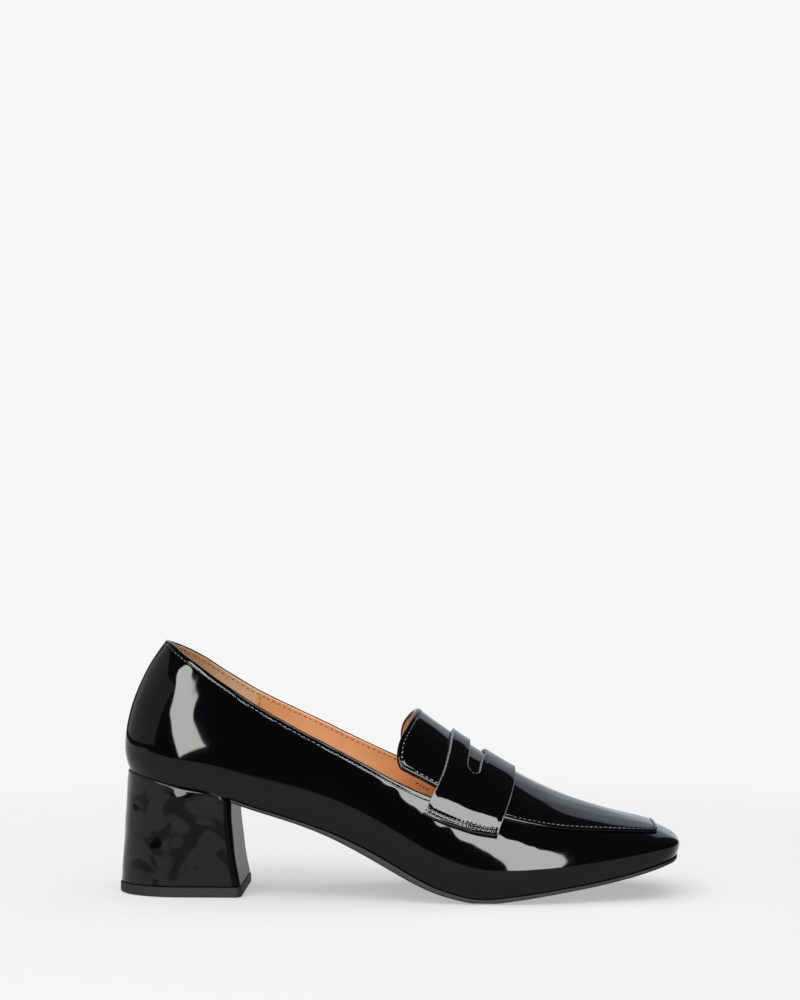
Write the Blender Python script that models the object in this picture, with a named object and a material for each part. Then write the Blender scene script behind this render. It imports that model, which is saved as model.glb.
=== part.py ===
"""Loafer pump, right shoe, as separate solids in metres.

+X points to the toe, +Y to the inner (medial) side and +Z up. The origin is on the floor, under the middle
of the shoe. The upper is one hollow wall worked out from a last: each station of the last runs from the
feather line, where the sole begins, out to the widest line and up to the ridge of the instep.
"""

import math

import bmesh
import bpy
import numpy as np

# Driving dimensions.
LENGTH = 0.2450
BALL_WIDTH = 0.0795
SEAT_HEIGHT = 0.0534
TOE_HEIGHT = 0.0180
INSTEP_HEIGHT = 0.0793
UPPER_WALL = 0.0018
PLUG_RISE = 0.0011
TONGUE_WALL = 0.0024
TONGUE_CORNER = 0.0060
STRAP_WALL = 0.0015
STRAP_GAP = 0.0004
INSOLE_THICKNESS = 0.0030
SOLE_THICKNESS = 0.0035
SOLE_MARGIN = 0.0008
SOLE_BEVEL_WIDTH = 0.0035
SOLE_BEVEL_HEIGHT = 0.0008
HEEL_CORNER_TOP = 0.0060
HEEL_CORNER_BOTTOM = 0.0030
HEEL_LIP = 0.0004
TOP_PIECE_LIP = 0.0004
TOP_PIECE_HEIGHT = 0.0042
TOP_PIECE_CHAMFER = 0.0004
GAP = 0.0003

# Places along the shoe, measured from its middle, and the heel's width.
PLUG_FRONT = 0.4563 * LENGTH
TONGUE_BACK_SIDE = -0.0163 * LENGTH
TONGUE_BACK_RIDGE = 0.0278 * LENGTH
HEEL_BREAST_TOP = -0.2947 * LENGTH
HEEL_BREAST_BOTTOM = -0.2776 * LENGTH
HEEL_BACK_BOTTOM = -0.5004 * LENGTH
HEEL_WIDTH_BOTTOM = 0.585 * BALL_WIDTH

# Stations run from 0 at the back of the heel to 1 at the tip of the toe. The widest line's half widths are
# shares of BALL_WIDTH.
OUTLINE_BACK, OUTLINE_TOE = -0.4945, 0.4990
OUTLINE = {
    "along": (0, 0.05, 0.10, 0.15, 0.20, 0.30, 0.40, 0.50, 0.60, 0.70, 0.80, 0.90, 0.95, 1),
    "lateral": (0, 0.124, 0.211, 0.279, 0.322, 0.358, 0.392, 0.457, 0.505, 0.462, 0.375, 0.287, 0.188, 0),
    "medial": (0, 0.124, 0.213, 0.285, 0.327, 0.345, 0.335, 0.392, 0.488, 0.472, 0.395, 0.307, 0.202, 0),
}
# Where each station meets the ridge, the height of its widest line over the feather line, how far the
# feather line lies inside it, and the fullness of the section on each side (2 is an ellipse).
SECTIONS = {
    "along": (0, 0.10, 0.20, 0.30, 0.40, 0.50, 0.60, 0.70, 0.80, 0.90, 1),
    "ridge_x": (-0.270, -0.245, -0.204, -0.143, -0.041, 0.0735, 0.196, 0.298, 0.371, 0.404, 0.416),
    "ridge_y": (0, 0, 0, 0.015, 0.040, 0.066, 0.074, 0.062, 0.043, 0.025, 0.019),
    "girth_z": (0.93, 1.00, 1.10, 1.20, 1.30, 1.30, 1.10, 0.90, 0.75, 0.58, 0.45),
    "tuck": (0.20, 0.20, 0.20, 0.22, 0.26, 0.24, 0.18, 0.16, 0.15, 0.17, 0.20),
    "full_lateral": (1.80, 1.86, 1.98, 2.05, 2.00, 1.95, 1.85, 1.80, 2.00, 2.20, 2.30),
    "full_medial": (1.80, 1.86, 2.00, 2.12, 2.20, 2.25, 2.25, 2.20, 2.20, 2.25, 2.30),
}
GIRTH_STEP = 0.010
# The ridge's height at shares of LENGTH from the middle, in shares of INSTEP_HEIGHT. Behind the tongue it is
# the top of the last, which the open collar leaves out.
RIDGE = {
    "x": (-0.270, -0.143, -0.041, 0.026, 0.090, 0.158, 0.203, 0.245, 0.295, 0.345, 0.396, 0.416),
    "height": (1.652, 1.393, 1.160, 1.000, 0.856, 0.723, 0.643, 0.576, 0.509, 0.460, 0.4175, 0.4035),
}
RIDGE_SLOPE_FROM, RIDGE_SLOPE_TO = 0.15, 0.42
# The sole's underside and thickness at shares of LENGTH. Heights are shares of SEAT_HEIGHT behind the ball
# and of TOE_HEIGHT in front of it; what dips below the floor is cut flat, which gives the tread. Thicknesses
# are shares of SOLE_THICKNESS.
PROFILE = {
    "x": (-0.500, -0.455, -0.385, -0.330, -0.270, -0.168, -0.114, -0.061, -0.009, 0.044, 0.096, 0.150),
    "height": (0.990, 0.935, 0.860, 0.812, 0.725, 0.580, 0.482, 0.362, 0.232, 0.108, 0.030, -0.010),
}
PROFILE_FRONT = {
    "x": (0.150, 0.196, 0.240, 0.288, 0.359, 0.420, 0.457, 0.500),
    "height": (-0.010, 0.040, 0.125, 0.228, 0.395, 0.580, 0.720, 0.880),
}
SOLE = {
    "x": (-0.500, -0.270, -0.168, -0.114, -0.061, -0.009, 0.044, 0.096, 0.150, 0.240, 0.500),
    "thickness": (0.514, 0.514, 0.571, 0.743, 0.943, 1.000, 0.857, 0.686, 0.657, 0.600, 0.571),
}
# The collar's edge as a share of each station's height, from its widest line to its ridge.
COLLAR = {
    "along": (0, 0.05, 0.10, 0.15, 0.20, 0.25, 0.30, 0.35, 0.40, 0.45, 0.50, 0.55, 0.60),
    "lateral": (0.693, 0.700, 0.695, 0.680, 0.643, 0.566, 0.484, 0.421, 0.384, 0.391, 0.432, 0.512, 0.562),
    "medial": (0.693, 0.694, 0.693, 0.686, 0.652, 0.573, 0.496, 0.449, 0.428, 0.445, 0.510, 0.582, 0.614),
}
# The seam of the plug as a share of the way out from the ridge to the widest line, seen from above.
SEAM = {
    "along": (0.55, 0.60, 0.70, 0.80, 0.90, 1),
    "out": (0.830, 0.805, 0.765, 0.745, 0.750, 0.750),
}
SEAM_CORNER_POWER = 12
THROAT = 0.590
THROAT_BLEND = 0.035

# The strap's edges and the middle and half width of its slot, from the strap's lower end to the ridge, as
# shares of LENGTH from the middle of the shoe.
STRAP = {
    "rise": (0, 0.3, 0.7, 1),
    "back": (0.0433, 0.0718, 0.0865, 0.0886),
    "front": (0.1724, 0.1886, 0.2008, 0.2014),
    "slot_middle": (0.1265, 0.1250, 0.1306, 0.1361),
    "slot_half": (0.0104, 0.0104, 0.0110, 0.0159),
}
# Where the strap's lower end and the slot's lie up the wall, the slot's rounding as a share of its length,
# and where the strap climbs from the wall onto the plug, below the plug's edge.
STRAP_END_BACK_V, STRAP_END_FRONT_V = 0.355, 0.390
SLOT_END_V = 0.690
SLOT_ROUND_SHARE = 0.12
STRAP_CLIMB_FROM, STRAP_CLIMB_TO = 0.10, 0.01

# How far the tongue's edge lies above the upper's, beside the collar and at the plug, how far behind the
# throat it is at its full rise, its gap to the plug in stations, and its corner as a share of its width.
TONGUE_EDGE_RISE = 0.05
TONGUE_EDGE_CLEAR = 0.008
TONGUE_RISE_STATIONS = 0.08
TONGUE_END_CLEAR = 0.0012
TONGUE_CORNER_SHARE = 0.35

# How much of the heel's bottom outline is round, and how square that is (2 is an ellipse).
HEEL_ROUND_SHARE = 0.55
HEEL_ROUND_POWER = 2.2

# v at the widest line, the step of slopes, and the stations and steps of a search along the shoe.
GIRTH_V = 0.20
FINITE_STEP = 1e-4
SEARCH_FROM, SEARCH_TO, SEARCH_STEPS = 0.30, 0.98, 40
# A share of the reach that stands for no limit, and the least reach that is divided by.
NO_LIMIT = 5
LEAST_REACH = 1e-6

# Mesh steps along the shoe, up the wall and over the plug.
REAR_COLUMNS, FRONT_COLUMNS = 24, 18
LOW_ROWS, WALL_ROWS, PLUG_ROWS = 2, 8, 5
TONGUE_COLUMNS, TONGUE_ROWS = 7, 7
STRAP_COLUMNS, STRAP_ROWS, SLOT_ROWS = 3, 5, 8
SLOT_ROW_POWER = 1.6
SOLE_COLUMNS = 34
HEEL_COLUMNS, HEEL_ROWS = 18, 7
WELD_STEPS_PER_METRE = 1e7
SHARP_DEGREES = 38

# Each material's colour, roughness and coat.
PATENT = ((0.010, 0.010, 0.011), 0.15, 1.0)
RUBBER = ((0.040, 0.040, 0.042), 0.62, 0.0)
LEATHER = ((0.52, 0.27, 0.11), 0.55, 0.0)


def spline(xs, ys, x):
    """The natural cubic spline through (xs, ys), read at x; it runs on straight past its ends."""
    xs, ys = np.asarray(xs, float), np.asarray(ys, float)
    x = np.asarray(x, float)
    count = len(xs)
    step = np.diff(xs)
    matrix, right = np.eye(count), np.zeros(count)
    for i in range(1, count - 1):
        matrix[i, i - 1 : i + 2] = step[i - 1], 2 * (step[i - 1] + step[i]), step[i]
        right[i] = 6 * ((ys[i + 1] - ys[i]) / step[i] - (ys[i] - ys[i - 1]) / step[i - 1])
    bend = np.linalg.solve(matrix, right)
    inside = np.clip(x, xs[0], xs[-1])
    i = np.clip(np.searchsorted(xs, inside) - 1, 0, count - 2)
    a, b, h = xs[i + 1] - inside, inside - xs[i], step[i]
    value = (bend[i] * a**3 + bend[i + 1] * b**3) / (6 * h)
    value = value + (ys[i] / h - bend[i] * h / 6) * a + (ys[i + 1] / h - bend[i + 1] * h / 6) * b
    slope = (bend[i + 1] * b**2 - bend[i] * a**2) / (2 * h)
    slope = slope + (ys[i + 1] - ys[i]) / h - (bend[i + 1] - bend[i]) * h / 6
    return value + slope * (x - inside)


def smooth(low, high, x):
    """0 at low, 1 at high, with level ends."""
    t = np.clip((np.asarray(x, float) - low) / (high - low), 0, 1)
    return t * t * (3 - 2 * t)


def under_z(x):
    """Height of the sole's underside at x, before the floor cuts it flat."""
    share = np.asarray(x, float) / LENGTH
    back = spline(PROFILE["x"], PROFILE["height"], share) * SEAT_HEIGHT
    front = spline(PROFILE_FRONT["x"], PROFILE_FRONT["height"], share) * TOE_HEIGHT
    mix = smooth(PROFILE["x"][-2], PROFILE_FRONT["x"][1], share)
    return back * (1 - mix) + front * mix


def sole_thickness(x):
    return spline(SOLE["x"], SOLE["thickness"], np.asarray(x, float) / LENGTH) * SOLE_THICKNESS


def feather_z(x):
    """Height of the upper's lower edge: the top of the sole, or of the heel, and a gap."""
    return under_z(x) + sole_thickness(x) + GAP


def ridge_z(x):
    return spline(RIDGE["x"], RIDGE["height"], np.asarray(x, float) / LENGTH) * INSTEP_HEIGHT


def girth_point(side, q):
    """The widest line in plan. side is -1 on the outer side and +1 on the inner side."""
    half = np.where(
        side < 0,
        spline(OUTLINE["along"], OUTLINE["lateral"], q),
        spline(OUTLINE["along"], OUTLINE["medial"], q),
    )
    share = OUTLINE_BACK + (OUTLINE_TOE - OUTLINE_BACK) * (1 - np.cos(math.pi * q)) / 2
    return np.stack([share * LENGTH, side * half * BALL_WIDTH], -1)


def folded(side, q):
    """A station past either end of the shoe is on its other side."""
    side = np.where((q < 0) | (q > 1), -side, side)
    q = np.where(q < 0, -q, np.where(q > 1, 2 - q, q))
    return side, q


def girth_normal(side, q):
    """The widest line's outward direction in plan."""
    ahead = girth_point(*folded(side, q + FINITE_STEP))
    behind = girth_point(*folded(side, q - FINITE_STEP))
    along = ahead - behind
    along /= np.linalg.norm(along, axis=-1, keepdims=True)
    return np.stack([-side * along[..., 1], side * along[..., 0]], -1)


def section(column, q):
    return spline(SECTIONS["along"], SECTIONS[column], q)


def fullness(side, q):
    return np.where(side < 0, section("full_lateral", q), section("full_medial", q))


def feather_point(side, q, out=0.0):
    """The feather line in plan, moved outwards by out."""
    inset = section("tuck", q) * GIRTH_STEP - out
    return girth_point(side, q) - girth_normal(side, q) * inset[..., None]


def last_surface(side, q, v):
    """A point of the last's outer surface. v is 0 at the feather line, GIRTH_V at the widest line and 1 at
    the ridge, and past 1 it goes down the other side."""
    side, q, v = np.broadcast_arrays(np.asarray(side, float), np.asarray(q, float), np.asarray(v, float))
    side, q = folded(side, q)
    side, v = np.where(v > 1, -side, side), np.where(v > 1, 2 - v, v)
    girth = girth_point(side, q)
    ridge_x = section("ridge_x", q) * LENGTH
    ridge = np.stack([ridge_x, section("ridge_y", q) * BALL_WIDTH], -1)
    feather = feather_point(side, q)
    low_z = feather_z(feather[..., 0])
    girth_z = low_z + section("girth_z", q) * GIRTH_STEP
    slope = (ridge_z(ridge_x + FINITE_STEP) - ridge_z(ridge_x - FINITE_STEP)) / (2 * FINITE_STEP)
    slope = slope * smooth(RIDGE_SLOPE_FROM, RIDGE_SLOPE_TO, q)
    drop = ridge_z(ridge_x) + slope * (girth[..., 0] - ridge_x) - girth_z

    angle = np.clip((v - GIRTH_V) / (1 - GIRTH_V), 0, 1) * math.pi / 2
    power = fullness(side, q)
    reach = (np.cos(angle) ** power + np.sin(angle) ** power) ** (-1 / power)
    out, up = reach * np.cos(angle), reach * np.sin(angle)
    plan = ridge + (girth - ridge) * out[..., None]
    z = ridge_z(ridge_x) + slope * (plan[..., 0] - ridge_x) - drop * (1 - up)

    below = np.clip(1 - v / GIRTH_V, 0, None)
    plan = plan + (feather - girth) * (below**2)[..., None]
    z = z - (girth_z - low_z) * below
    return np.concatenate([plan, z[..., None]], -1)


def last_normal(side, q, v):
    """The outward unit normal of the last's surface, the same from both sides where they meet."""
    side = np.where((q <= 0) | (q >= 1) | (v >= 1), -1, side)
    q = np.clip(q, 2 * FINITE_STEP, 1 - 2 * FINITE_STEP)
    along = last_surface(side, q + FINITE_STEP, v) - last_surface(side, q - FINITE_STEP, v)
    up = last_surface(side, q, v + FINITE_STEP) - last_surface(side, q, np.maximum(v - FINITE_STEP, 0))
    normal = np.cross(along, up) * -np.asarray(side, float)[..., None]
    return normal / np.linalg.norm(normal, axis=-1, keepdims=True)


def raised(side, q, v, offset):
    side, q, v = np.broadcast_arrays(np.asarray(side, float), np.asarray(q, float), np.asarray(v, float))
    return last_surface(side, q, v) + last_normal(side, q, v) * np.asarray(offset, float)[..., None]


def v_from_up(side, q, up):
    """The v of a share of the section's height."""
    power = fullness(side, q)
    out = (1 - up**power) ** (1 / power)
    return GIRTH_V + (1 - GIRTH_V) * np.arctan2(up, out) / (math.pi / 2)


def v_from_out(side, q, out):
    """The v of a share of the section's width, seen from above."""
    power = fullness(side, q)
    up = (1 - out**power) ** (1 / power)
    return GIRTH_V + (1 - GIRTH_V) * np.arctan2(up, out) / (math.pi / 2)


def collar_v(side, q):
    share = np.where(
        side < 0,
        spline(COLLAR["along"], COLLAR["lateral"], q),
        spline(COLLAR["along"], COLLAR["medial"], q),
    )
    return v_from_up(side, q, share)


def seam_v(side, q):
    """The plug's seam: along the sides from the table, and straight across the toe at PLUG_FRONT."""
    ridge_x = section("ridge_x", q) * LENGTH
    reach = np.maximum(girth_point(side, q)[..., 0] - ridge_x, LEAST_REACH)
    front = (PLUG_FRONT - ridge_x) / reach
    front = np.where((front <= 0) | (front > NO_LIMIT), NO_LIMIT, front)
    across = spline(SEAM["along"], SEAM["out"], q)
    out = (front**-SEAM_CORNER_POWER + across**-SEAM_CORNER_POWER) ** (-1 / SEAM_CORNER_POWER)
    return v_from_out(side, q, out)


def edge_v(side, q):
    """The top of the side wall: the collar behind the throat and the plug's seam in front of it."""
    mix = smooth(THROAT - THROAT_BLEND, THROAT + THROAT_BLEND, q)
    return collar_v(side, np.minimum(q, COLLAR["along"][-1])) * (1 - mix) + seam_v(
        side, np.maximum(q, SEAM["along"][0])
    ) * mix


def station_at(side, v, x):
    """The station whose surface is at x, for a v."""
    low, high = np.full_like(v, SEARCH_FROM), np.full_like(v, SEARCH_TO)
    for _ in range(SEARCH_STEPS):
        middle = (low + high) / 2
        ahead = last_surface(side, middle, v)[..., 0] > x
        low, high = np.where(ahead, low, middle), np.where(ahead, middle, high)
    return (low + high) / 2


def grid(points, wrap=False):
    """Four-sided faces over rows of points, closed round when wrap is set."""
    rows, columns = len(points), len(points[0])
    faces = []
    for j in range(rows - 1):
        for i in range(columns if wrap else columns - 1):
            k = (i + 1) % columns
            faces.append([points[j][i], points[j][k], points[j + 1][k], points[j + 1][i]])
    return faces


def solid(name, faces, look):
    """An object whose faces are lists of points; points in one place are one vertex."""
    index, vertices, polygons = {}, [], []
    for face in faces:
        polygon = []
        for point in face:
            key = tuple(np.round(np.asarray(point) * WELD_STEPS_PER_METRE).astype(int))
            if key not in index:
                index[key] = len(vertices)
                vertices.append([float(c) for c in point])
            if index[key] not in polygon:
                polygon.append(index[key])
        if len(polygon) > 2:
            polygons.append(polygon)
    mesh = bpy.data.meshes.new(name)
    mesh.from_pydata(vertices, [], polygons)
    work = bmesh.new()
    work.from_mesh(mesh)
    bmesh.ops.recalc_face_normals(work, faces=work.faces)
    work.to_mesh(mesh)
    work.free()
    mesh.shade_smooth()
    mesh.set_sharp_from_angle(angle=math.radians(SHARP_DEGREES))
    colour, roughness, coat = look
    material = bpy.data.materials.new(name + " material")
    material.use_nodes = True
    shader = material.node_tree.nodes["Principled BSDF"]
    shader.inputs["Base Color"].default_value = (*colour, 1)
    shader.inputs["Roughness"].default_value = roughness
    shader.inputs["Coat Weight"].default_value = coat
    mesh.materials.append(material)
    part = bpy.data.objects.new(name, mesh)
    bpy.context.collection.objects.link(part)
    return part


def stations():
    rear = np.linspace(0, THROAT, REAR_COLUMNS + 1)
    return np.concatenate([rear, np.linspace(THROAT, 1, FRONT_COLUMNS + 1)[1:]])


def floor_point(plan, z):
    return np.concatenate([plan, np.asarray(z)[..., None]], -1)


def upper_faces():
    q_row = stations()
    q = np.concatenate([q_row, q_row[-2:0:-1]])
    side = np.concatenate([-np.ones(len(q_row)), np.ones(len(q_row) - 2)])
    edge = edge_v(side, q)
    low = GIRTH_V * np.arange(LOW_ROWS)[:, None] / LOW_ROWS + 0 * edge
    wall = GIRTH_V + (edge - GIRTH_V) * np.linspace(0, 1, WALL_ROWS + 1)[:, None]
    v = np.concatenate([low, wall])
    outer, inner = raised(side, q, v, 0 * v), raised(side, q, v, 0 * v - UPPER_WALL)
    rim = feather_point(side, q, -UPPER_WALL)
    inner[0] = floor_point(rim, feather_z(rim[:, 0]))
    faces = grid(outer, True) + grid(inner, True) + grid([outer[0], inner[0]], True)

    throat, last = REAR_COLUMNS, len(q)
    behind = [*range(last - throat, last), *range(throat + 1)]
    faces += grid([outer[-1][behind], inner[-1][behind]])

    share = np.linspace(0, 1, PLUG_ROWS + 1)[:, None]
    q_front = q_row[throat:]
    plug_q = np.repeat(q_front[None], 2 * PLUG_ROWS + 1, 0)
    plug_side = np.repeat(np.r_[-np.ones(PLUG_ROWS + 1), np.ones(PLUG_ROWS)][:, None], len(q_front), 1)
    outer_edge = edge_v(0 * q_front - 1, q_front)
    inner_edge = edge_v(0 * q_front + 1, q_front)
    plug_v = np.concatenate(
        [outer_edge + (1 - outer_edge) * share, (inner_edge + (1 - inner_edge) * share)[-2::-1]]
    )
    top = raised(plug_side, plug_q, plug_v, 0 * plug_v + PLUG_RISE)
    under = raised(plug_side, plug_q, plug_v, 0 * plug_v - UPPER_WALL)
    faces += grid(top) + grid(under)
    around = [*range(throat, len(q_row))]
    back = [*range(last - throat, len(q_row) - 2, -1)]
    faces += grid([outer[-1][around], top[0]]) + grid([outer[-1][back], top[-1]])

    faces += grid([top[1:-1, 0], under[1:-1, 0]])
    for first, second, corner in ((0, 1, throat), (-1, -2, last - throat)):
        seam = outer[-1][corner]
        faces += [
            [seam, top[first, 0], top[second, 0]],
            [seam, top[second, 0], under[second, 0]],
            [seam, under[second, 0], under[first, 0]],
        ]
    return faces


def sheet_faces(top, under):
    """A closed sheet between two matching grids of points."""
    rims = [top[0], under[0]], [top[-1], under[-1]], [top[:, 0], under[:, 0]], [top[:, -1], under[:, -1]]
    faces = grid(top) + grid(under)
    for rim in rims:
        faces += grid(rim)
    return faces


def tongue_v(side, q, share):
    """The v of a share of the way from the tongue's edge to the ridge."""
    rise = TONGUE_EDGE_RISE * smooth(THROAT, THROAT - TONGUE_RISE_STATIONS, q)
    edge = edge_v(side, q) + rise + TONGUE_EDGE_CLEAR
    return edge + (1 - edge) * share


def tongue_ends(side, share):
    """The stations of the tongue's back edge, which has a round corner, and of its front end."""
    corner = TONGUE_CORNER * (1 - np.sqrt(1 - np.clip(1 - share / TONGUE_CORNER_SHARE, 0, 1) ** 2))
    lean = np.sin(share * math.pi / 2)
    back_x = TONGUE_BACK_SIDE + (TONGUE_BACK_RIDGE - TONGUE_BACK_SIDE) * lean + corner
    front_q = THROAT - TONGUE_END_CLEAR
    low, high = np.full_like(share, SEARCH_FROM), np.full_like(share, front_q)
    for _ in range(SEARCH_STEPS):
        middle = (low + high) / 2
        ahead = last_surface(side, middle, tongue_v(side, middle, share))[..., 0] > back_x
        low, high = np.where(ahead, low, middle), np.where(ahead, middle, high)
    return low, front_q


def tongue_faces():
    share = np.linspace(0, 1, TONGUE_ROWS + 1)
    rows = []
    for side in (-1.0, 1.0):
        back_q, front_q = tongue_ends(side, share)
        q = back_q[:, None] + (front_q - back_q[:, None]) * np.linspace(0, 1, TONGUE_COLUMNS + 1)
        v = tongue_v(side, q, share[:, None])
        top = raised(side, q, v, 0 * v + PLUG_RISE)
        under = raised(side, q, v, 0 * v + PLUG_RISE - TONGUE_WALL)
        rows.append((top, under))
    top = np.concatenate([rows[0][0], rows[1][0][-2::-1]])
    under = np.concatenate([rows[0][1], rows[1][1][-2::-1]])
    return sheet_faces(top, under)


def strap_lift(side, q, v):
    """How far the strap's underside lies off the last: it climbs onto the plug below the plug's edge."""
    edge = edge_v(side + 0 * q, q)
    return STRAP_GAP + PLUG_RISE * smooth(edge - STRAP_CLIMB_FROM, edge - STRAP_CLIMB_TO, v)


def strap_faces():
    """The saddle strap: a rear band and a front band that part round the slot."""
    low_v = np.linspace(0, 1, STRAP_ROWS + 1)[:-1]
    share = np.linspace(0, 1, SLOT_ROWS + 1) ** SLOT_ROW_POWER
    opening = np.concatenate([0 * low_v, np.sqrt(1 - np.clip(1 - share / SLOT_ROUND_SHARE, 0, 1) ** 2)])
    end_v = (STRAP_END_BACK_V + STRAP_END_FRONT_V) / 2
    v = np.concatenate([end_v + (SLOT_END_V - end_v) * low_v, SLOT_END_V + (1 - SLOT_END_V) * share])
    slant = np.concatenate([1 - low_v, 0 * share]) * (STRAP_END_FRONT_V - STRAP_END_BACK_V)
    rise = (v - end_v) / (1 - end_v)
    back, front, middle, half = (
        spline(STRAP["rise"], STRAP[column], rise) * LENGTH
        for column in ("back", "front", "slot_middle", "slot_half")
    )
    bands = []
    for start, end in ((back, middle - half * opening), (middle + half * opening, front)):
        x = start[:, None] + (end - start)[:, None] * np.linspace(0, 1, STRAP_COLUMNS + 1)
        sheets = []
        for side in (-1.0, 1.0):
            across = (x - back[:, None]) / (front - back)[:, None]
            rows = v[:, None] + slant[:, None] * (across - 0.5)
            q = station_at(side, rows, x)
            lift = strap_lift(side, q, rows)
            sheets.append((raised(side, q, rows, lift + STRAP_WALL), raised(side, q, rows, lift)))
        bands.append([np.concatenate([sheets[0][k], sheets[1][k][-2::-1]]) for k in (0, 1)])
    (rear_top, rear_under), (front_top, front_under) = bands
    slot = slice(STRAP_ROWS, len(rear_top) - STRAP_ROWS)
    faces = grid(rear_top) + grid(rear_under) + grid(front_top) + grid(front_under)
    faces += grid([rear_top[:, 0], rear_under[:, 0]]) + grid([front_top[:, -1], front_under[:, -1]])
    for end in (0, -1):
        faces += grid([rear_top[end], rear_under[end]]) + grid([front_top[end], front_under[end]])
    faces += grid([rear_top[slot, -1], rear_under[slot, -1]])
    faces += grid([front_top[slot, 0], front_under[slot, 0]])
    return faces


def stack_faces(levels):
    """A solid through levels from top to bottom. Each level has a row of points down either side, and the
    solid is straight across between them."""
    outer, inner = (np.array([level[k] for level in levels]) for k in (0, 1))
    faces = grid(outer) + grid(inner)
    for cap in ([outer[0], inner[0]], [outer[-1], inner[-1]], [outer[:, 0], inner[:, 0]]):
        faces += grid(cap)
    return faces + grid([outer[:, -1], inner[:, -1]])


def sole_level(q_start, out, height):
    """The outline of the feather line moved outwards by out, at a height that is a function of x."""
    level = []
    for side, start in zip((-1.0, 1.0), q_start):
        q = np.linspace(start, 1, SOLE_COLUMNS + 1)
        plan = feather_point(side + 0 * q, q, out)
        level.append(floor_point(plan, height(plan[:, 0])))
    return level


def insole_faces():
    inset = -UPPER_WALL - GAP
    return stack_faces([
        sole_level((0, 0), inset, lambda x: feather_z(x) + INSOLE_THICKNESS),
        sole_level((0, 0), inset, feather_z),
    ])


def breast_stations(x):
    """The stations of both sides where the sole's outline reaches x."""
    q = np.linspace(0.1, 0.6, 501)
    return [np.interp(x, feather_point(side + 0 * q, q)[:, 0], q) for side in (-1.0, 1.0)]


def outsole_faces():
    start = breast_stations(HEEL_BREAST_TOP + GAP)
    return stack_faces([
        sole_level(start, SOLE_MARGIN, lambda x: under_z(x) + sole_thickness(x)),
        sole_level(start, SOLE_MARGIN, lambda x: np.maximum(under_z(x), 0) + SOLE_BEVEL_HEIGHT),
        sole_level(start, SOLE_MARGIN - SOLE_BEVEL_WIDTH, lambda x: np.maximum(under_z(x), 0)),
    ])


def corner_rounded(x, y, breast, radius):
    """y drawn in where x comes within radius of the breast."""
    near = np.clip((x - breast) / radius + 1, 0, 1)
    return y - np.sign(y) * radius * (1 - np.sqrt(1 - near**2))


def heel_seat(side, share):
    """The heel's top outline at shares of the way from its back to its breast."""
    q = np.linspace(0, 0.5, 801)
    plan = feather_point(side + 0 * q, q, HEEL_LIP)
    x = plan[0, 0] + (HEEL_BREAST_TOP - plan[0, 0]) * share
    y = np.interp(x, plan[:, 0], plan[:, 1])
    return x, corner_rounded(x, y, HEEL_BREAST_TOP, HEEL_CORNER_TOP)


def heel_foot(side, share, lip=0.0):
    """The heel's bottom outline: round behind and straight towards the breast."""
    back, breast = HEEL_BACK_BOTTOM - lip, HEEL_BREAST_BOTTOM + lip
    half = HEEL_WIDTH_BOTTOM / 2 + lip
    turn = np.clip(share / HEEL_ROUND_SHARE, 0, 1)
    x = back + (breast - back) * share
    y = side * half * (1 - (1 - turn) ** HEEL_ROUND_POWER) ** (1 / HEEL_ROUND_POWER)
    return x, corner_rounded(x, y, breast, HEEL_CORNER_BOTTOM)


def heel_point(side, share, t):
    """The heel's side at shares of the way forwards, and at t of the way down from its seat."""
    seat_x, seat_y = heel_seat(side, share)
    foot_x, foot_y = heel_foot(side, share)
    seat_z = feather_z(seat_x) - GAP
    flare = t ** (1 + share)
    x = seat_x + (foot_x - seat_x) * flare
    y = seat_y + (foot_y - seat_y) * flare
    z = seat_z + (TOP_PIECE_HEIGHT + GAP - seat_z) * t
    return np.stack([x, y, z], -1)


def top_piece_levels(share):
    """The top piece's outlines from its top to the floor, with a small chamfer at both."""
    inset = TOP_PIECE_LIP - TOP_PIECE_CHAMFER
    levels = []
    for lip, z in (
        (inset, TOP_PIECE_HEIGHT),
        (TOP_PIECE_LIP, TOP_PIECE_HEIGHT - TOP_PIECE_CHAMFER),
        (TOP_PIECE_LIP, TOP_PIECE_CHAMFER),
        (inset, 0.0),
    ):
        outlines = [heel_foot(side, share, lip) for side in (-1.0, 1.0)]
        levels.append([np.stack([x, y, z + 0 * x], -1) for x, y in outlines])
    return levels


def heel_shares():
    return (1 - np.cos(np.linspace(0, math.pi, HEEL_COLUMNS + 1))) / 2


def heel_faces():
    steps = np.linspace(0, 1, HEEL_ROWS + 1)
    return stack_faces([[heel_point(side, heel_shares(), t) for side in (-1.0, 1.0)] for t in steps])


def top_piece_faces():
    return stack_faces(top_piece_levels(heel_shares()))


def main():
    for item in list(bpy.data.objects):
        bpy.data.objects.remove(item, do_unlink=True)
    solid("upper", upper_faces(), PATENT)
    solid("tongue", tongue_faces(), PATENT)
    solid("strap", strap_faces(), PATENT)
    solid("insole", insole_faces(), LEATHER)
    solid("outsole", outsole_faces(), RUBBER)
    solid("heel", heel_faces(), PATENT)
    solid("heel_top_piece", top_piece_faces(), RUBBER)


main()
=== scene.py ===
"""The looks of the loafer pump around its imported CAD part, in metres. +X points to the toe, +Y to the inner
side of this right shoe, +Z up. The shapes come from the same last as the CAD part, with finer steps."""

import math

import bmesh
import bpy
import numpy as np
from mathutils import Matrix, Vector


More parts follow.
